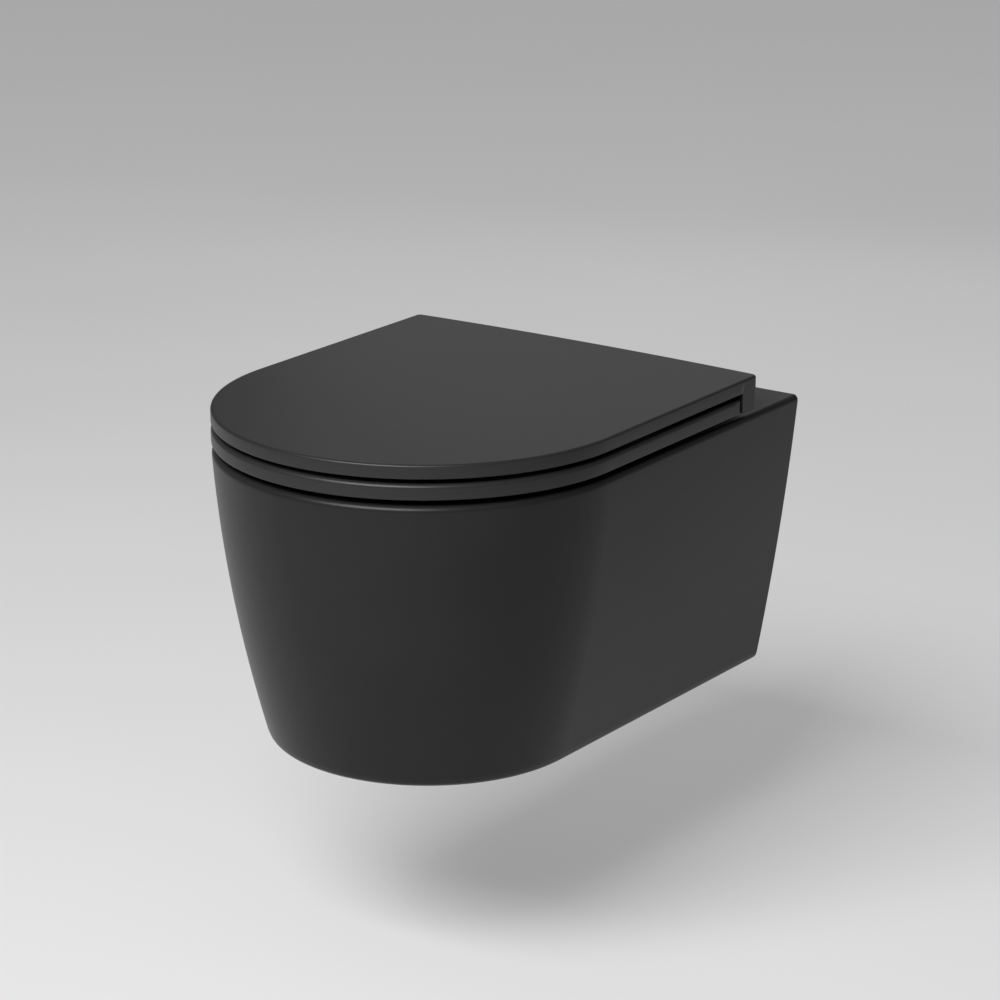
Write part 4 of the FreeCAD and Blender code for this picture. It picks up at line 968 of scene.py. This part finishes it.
# ------------------------------------------------------------------ lid
@dataclass
class Lid:
    """Lid: thin crowned plate with a turned-down edge and a full-width block over the hinge."""

    low: float = LID_LOW
    high: float = 114.5 * MM
    crown: float = 1.84 * MM
    plate: float = 5.5 * MM
    edge: float = 2.2 * MM
    under_edge: float = 0.5 * MM
    plain_y: float = -96.0 * MM         # behind this the edge meets the block and has no rounding
    fade: float = 10.0 * MM
    recess_round: float = 2.0 * MM
    recess_middle: float = 0.6 * MM
    top_insets: tuple[float, float] = (179.5 * MM, 8.0 * MM)
    edge_insets: tuple[float, ...] = (5.5 * MM, 3.6 * MM, 2.4 * MM)
    roof_insets: tuple[float, float] = (6.0 * MM, 172.5 * MM)
    top_steps: int = 58
    roof_steps: int = 30
    edge_steps: int = 13
    under_steps: int = 6
    block_front: float = -94.5 * MM
    block_low: float = 85.0 * MM
    block_top: float = 110.0 * MM
    block_past: float = 10.0 * MM       # length at each end that the plan then trims off
    nose_round: float = 2.5 * MM
    nose_steps: int = 9
    heel_round: float = 6.0 * MM
    heel_steps: int = 15
    wall: float = 4.0 * MM
    pocket_in: float = 42.0 * MM
    pocket_out: float = 108.0 * MM
    pocket_top: float = 107.5 * MM
    pocket_ahead: float = 8.0 * MM
    pocket_behind: float = 5.0 * MM
    coring_middle: float = 38.0 * MM
    coring_ends: tuple[float, float] = (153.0 * MM, 175.0 * MM)
    cartridge: tuple[float, float] = (107.0 * MM, 149.5 * MM)
    cartridge_bore: float = 7.56 * MM
    key_out: float = 145.5 * MM
    key_half: float = 1.55 * MM
    key_rise: float = 8.8 * MM
    outer: DPlan = field(default_factory=lambda: DPlan(HALF_WIDTH, -70 * MM, 5 * MM))
    recess: DPlan = field(default_factory=lambda: DPlan(173 * MM, SEAT_BACK_Y, 12 * MM))
    feet: Feet = field(default_factory=lambda: Feet(
        LID_LOW, 32.0, 165.5 * MM, 165.5 * MM, -190 * MM, 6.5 * MM, 6.6 * MM, 40))
    finish: MattMoulded = field(default_factory=MattMoulded)

    def top(self, reach: np.ndarray) -> np.ndarray:
        """Height of the crowned top: high + crown * (1 - (reach / half width) squared)."""
        return self.high + self.crown * (1 - (reach / self.outer.radius) ** 2)

    def rings(self) -> np.ndarray:
        """Closed outlines from the middle of the top over the edge to the middle underneath."""
        rings = []
        for inset in [*np.linspace(*self.top_insets, self.top_steps), *self.edge_insets]:
            points, _ = self.outer.loop(inset)
            rings.append(np.column_stack([points, self.top(self.outer.reach(points))]))
        for t in np.radians(np.linspace(90, 0, self.edge_steps)):
            points, _ = self.outer.loop(self.edge * (1 - math.cos(t)))
            rim = self.top(self.outer.reach(points))
            rings.append(np.column_stack([points, rim - self.edge * (1 - math.sin(t))]))
        outline, normals = self.outer.loop()
        free = np.clip((self.plain_y - outline[:, 1]) / self.fade, 0.0, 1.0)
        for t in np.radians(np.linspace(0, 90, self.under_steps)):
            gap = self.under_edge * (1 - math.cos(t)) * free
            rise = self.under_edge * (1 - math.sin(t)) * free
            rings.append(np.column_stack([outline - normals * gap[:, None], self.low + rise]))
        roof = self.high - self.plate - self.low
        soft, middle = self.recess_round, self.recess_middle
        recess = [(0.0, 0.0), (0.0, roof - soft), (middle, roof - middle), (soft, roof)]
        for inset, rise in recess:
            points, _ = self.recess.loop(inset)
            lift = (rise / roof) ** 2 * (self.top(self.recess.reach(points)) - self.high)
            rings.append(np.column_stack([points, self.low + rise + lift]))
        for inset in np.linspace(*self.roof_insets, self.roof_steps):
            points, _ = self.recess.loop(inset)
            under = self.top(self.recess.reach(points)) - self.plate
            rings.append(np.column_stack([points, under]))
        return np.array(rings)

    def block_profile(self) -> np.ndarray:
        """Outline of the rear block in the Y-Z plane, both lower edges rounded."""
        front, back, low = self.block_front, self.outer.back, self.block_low
        r_nose, r_heel = self.nose_round, self.heel_round
        top = self.low + PAST
        nose = [front + r_nose, low + r_nose] + rounding(r_nose, 180.0, 270.0, self.nose_steps)
        heel = [back - r_heel, low + r_heel] + rounding(r_heel, 270.0, 360.0, self.heel_steps)
        return np.concatenate([[[front, top]], nose, heel, [[back, top]]])

    def block(self) -> bpy.types.Mesh:
        """The rear block between the lid's rounded back corners."""
        reach = self.outer.radius + self.block_past
        bar = link("block", bar_mesh(self.block_profile(), -reach, reach, 0.0))
        points, _ = self.outer.loop()
        heights = (DECK_Z, self.block_top)
        ends = [np.column_stack([points, np.full(len(points), z)]) for z in heights]
        combine(bar, Op.KEEP, closed_stack("d_tool", np.array(ends), True, True))
        mesh = bar.data
        bpy.data.objects.remove(bar)
        return mesh

    def cuts(self) -> list[bpy.types.Mesh]:
        """Cutting tools: hinge pockets, coring, cartridge bores with a keyway, buffers' holes."""
        front, back, top = self.block_front, self.outer.back, self.pocket_top
        front_wall, back_wall = front + self.wall, back - self.wall
        half = self.coring_middle
        tools = [box_mesh((-half, front_wall, DECK_Z), (half, back_wall, top))]
        pocket = (self.pocket_in, self.pocket_out,
                  front - self.pocket_ahead, back + self.pocket_behind)
        coring = (*self.coring_ends, front_wall, back_wall)
        for sign in (-1, 1):
            for x0, x1, y0, y1 in (pocket, coring):
                low_x, high_x = sorted((sign * x0, sign * x1))
                tools.append(box_mesh((low_x, y0, DECK_Z), (high_x, y1, top)))
            ends = [[sign * x, HINGE_Y, HINGE_Z] for x in self.cartridge]
            tools.append(round_bar(self.cartridge_bore, ends[0], ends[1], 64))
        key_low = (self.cartridge[0], HINGE_Y - self.key_half, HINGE_Z)
        key_high = (self.key_out, HINGE_Y + self.key_half, HINGE_Z + self.key_rise)
        tools.append(box_mesh(key_low, key_high))
        return tools + self.feet.bores()

    def build(self) -> list[bpy.types.Object]:
        """The lid as one closed shell."""
        lid = link("lid_shell", closed_stack("lid_shell", self.rings(), True, True))
        combine(lid, Op.ADD, self.block())
        combine(lid, Op.ADD, *self.feet.bosses())
        combine(lid, Op.CUT, *self.cuts())
        lid.data.materials.clear()
        lid.data.materials.append(self.finish.build())
        crisp(lid, SHELL_CRISP)
        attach(lid, Body.LID.value)
        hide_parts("lid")
        return [lid]


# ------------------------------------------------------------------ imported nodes
Finish = MattGlaze | MattMoulded | Plastic | Metal


@dataclass
class PackedNodes:
    """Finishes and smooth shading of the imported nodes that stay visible."""

    nodes: dict[str, bpy.types.Object]
    finishes: dict[str, Finish]
    slots: dict[str, list[str]]

    def build(self) -> None:
        """Gives each node its slot's finish and smooth normals."""
        made = {slot: finish.build() for slot, finish in self.finishes.items()}
        for slot, names in self.slots.items():
            for name in names:
                node = self.nodes[name]
                node.data.materials.clear()
                node.data.materials.append(made[slot])
                weld = node.modifiers.new("weld", "WELD")
                weld.merge_threshold = WELD_GAP
                smooth = node.modifiers.new("smooth", "NODES")
                smooth.node_group = smooth_group()


def smooth_group(degrees: float = 30.0) -> bpy.types.NodeTree:
    """Geometry nodes that shade smooth and keep edges sharper than an angle crisp.

    Args:
        degrees: the angle.

    Returns:
        The node group, made once.
    """
    found = bpy.data.node_groups.get("smooth_by_angle")
    if found:
        return found
    tree = bpy.data.node_groups.new("smooth_by_angle", "GeometryNodeTree")
    tree.interface.new_socket("Geometry", in_out="INPUT", socket_type="NodeSocketGeometry")
    tree.interface.new_socket("Geometry", in_out="OUTPUT", socket_type="NodeSocketGeometry")
    start, end = tree.nodes.new("NodeGroupInput"), tree.nodes.new("NodeGroupOutput")
    faces, edges = [tree.nodes.new("GeometryNodeSetShadeSmooth") for _ in range(2)]
    faces.domain, edges.domain = "FACE", "EDGE"
    angle = tree.nodes.new("GeometryNodeInputMeshEdgeAngle")
    flat = tree.nodes.new("FunctionNodeCompare")
    flat.data_type, flat.operation = "FLOAT", "LESS_THAN"
    flat.inputs["B"].default_value = math.radians(degrees)
    tree.links.new(angle.outputs["Unsigned Angle"], flat.inputs["A"])
    tree.links.new(flat.outputs["Result"], edges.inputs["Shade Smooth"])
    tree.links.new(start.outputs["Geometry"], faces.inputs["Geometry"])
    tree.links.new(faces.outputs["Geometry"], edges.inputs["Geometry"])
    tree.links.new(edges.outputs["Geometry"], end.inputs["Geometry"])
    return tree


# ------------------------------------------------------------------ studio
@dataclass
class Studio:
    """Camera, floor and soft lights."""

    floor_z: float = -0.36
    floor_half: float = 30.0
    floor_dark: tuple[float, float, float] = (0.55, 0.55, 0.55)
    floor_light: tuple[float, float, float] = (0.58, 0.58, 0.58)
    floor_rough: float = 0.6
    azimuth: float = 35.201
    elevation: float = 17.714
    place: tuple[float, float, float] = (1.55994, -2.40802, 0.86635)
    lens: float = 118.497
    sensor: float = 36.0
    nearest: float = 0.05
    aim: tuple[float, float, float] = (0.0, -0.25, 0.0)
    backdrop: float = 0.27
    sky: float = 0.14

    def camera(self) -> None:
        """Camera at the photograph's viewing angle, back axis along azimuth and elevation."""
        data = bpy.data.cameras.new("camera")
        data.lens, data.sensor_width, data.clip_start = self.lens, self.sensor, self.nearest
        camera = bpy.data.objects.new("camera", data)
        camera.location = self.place
        turn = (math.radians(90.0 - self.elevation), 0.0, math.radians(self.azimuth))
        camera.rotation_euler = turn
        bpy.context.scene.collection.objects.link(camera)
        bpy.context.scene.camera = camera

    def floor(self) -> None:
        """Plain pale floor; its glow shows to the camera, gloss and glass, and lights nothing."""
        corners = np.array([[-1.0, -1.0], [1.0, -1.0], [1.0, 1.0], [-1.0, 1.0]]) * self.floor_half
        points = np.column_stack([corners, np.full(len(corners), self.floor_z)])
        floor = link("floor", new_mesh("floor", points, [[0, 1, 2, 3]]))
        nodes = Nodes("pale_floor")
        share = nodes.spread(nodes.noise(1.2, 2.0), 0.0, 1.0)
        colour = nodes.blend(share, self.floor_dark, self.floor_light)
        nodes.feed(nodes.shader, "Base Color", colour)
        nodes.shader.inputs["Roughness"].default_value = self.floor_rough
        nodes.shader.inputs["Emission Color"].default_value = (1.0, 1.0, 1.0, 1.0)
        shown = scaled(nodes.tree, seen_rays(nodes.tree), self.backdrop)
        nodes.feed(nodes.shader, "Emission Strength", shown)
        floor.data.materials.append(nodes.material)

    def light(self, name: str, place: tuple[float, float, float], wide: float, high: float,
              power: float) -> None:
        """Soft rectangular light aimed at the toilet.

        Args:
            name: name of the lamp.
            place: where it hangs.
            wide: width in metres.
            high: height in metres.
            power: power in watts.
        """
        data = bpy.data.lights.new(name, "AREA")
        data.shape, data.size, data.size_y, data.energy = "RECTANGLE", wide, high, power
        lamp = bpy.data.objects.new(name, data)
        lamp.location = place
        aim = np.array(self.aim) - np.array(place)
        tilt = math.atan2(math.hypot(aim[0], aim[1]), -aim[2])
        lamp.rotation_euler = (tilt, 0.0, math.atan2(aim[1], aim[0]) - math.pi / 2)
        lamp.visible_camera = False
        bpy.context.scene.collection.objects.link(lamp)

    def build(self) -> None:
        """Camera, floor, lamps and world."""
        self.camera()
        self.floor()
        self.light("key", (0.15, -2.55, 2.35), 2.4, 1.3, 130.0)
        self.light("rear_panel", (-0.9, 1.9, 0.9), 1.8, 1.8, 2.5)
        world = bpy.data.worlds.new("world")
        bpy.context.scene.world = world
        world.use_nodes = True
        background = world.node_tree.nodes["Background"]
        background.inputs["Color"].default_value = (1.0, 1.0, 1.0, 1.0)
        background.inputs["Strength"].default_value = self.sky
        bpy.context.scene.view_settings.view_transform = "Standard"


FINISHES = {
    "matt_ceramic": MattGlaze(),
    "duroplast": MattMoulded(),
    "dark_plastic": Plastic("dark_plastic", (0.03, 0.03, 0.032), 0.45),
    "white_nylon": Plastic("white_nylon", (0.72, 0.72, 0.69), 0.42),
    "soft_rubber": Plastic("soft_rubber", (0.018, 0.018, 0.018), 0.75, 500.0, 0.03 * MM),
    "zinc_steel": Metal("zinc_steel", (0.62, 0.63, 0.66), 0.38),
    "stainless": Metal("stainless", (0.60, 0.59, 0.57), 0.26),
    "dark_metal": Metal("dark_metal", (0.10, 0.10, 0.105), 0.40),
    "brass": Metal("brass", (0.76, 0.58, 0.30), 0.28),
}


def main() -> None:
    logging.basicConfig(level=logging.INFO)
    record = frame["record"]
    slots: dict[str, list[str]] = {}
    for entry in record["subparts"]:
        slots.setdefault(entry["material_slot"], []).append(entry["node"])
    PackedNodes(frame["nodes"], FINISHES, slots).build()
    for assembly in (Pan(), Seat(), Lid()):
        for piece in assembly.build():
            LOG.info("%s: %d faces", piece.name, len(piece.data.polygons))
    Studio().build()


if __name__ == "__main__":
    main()
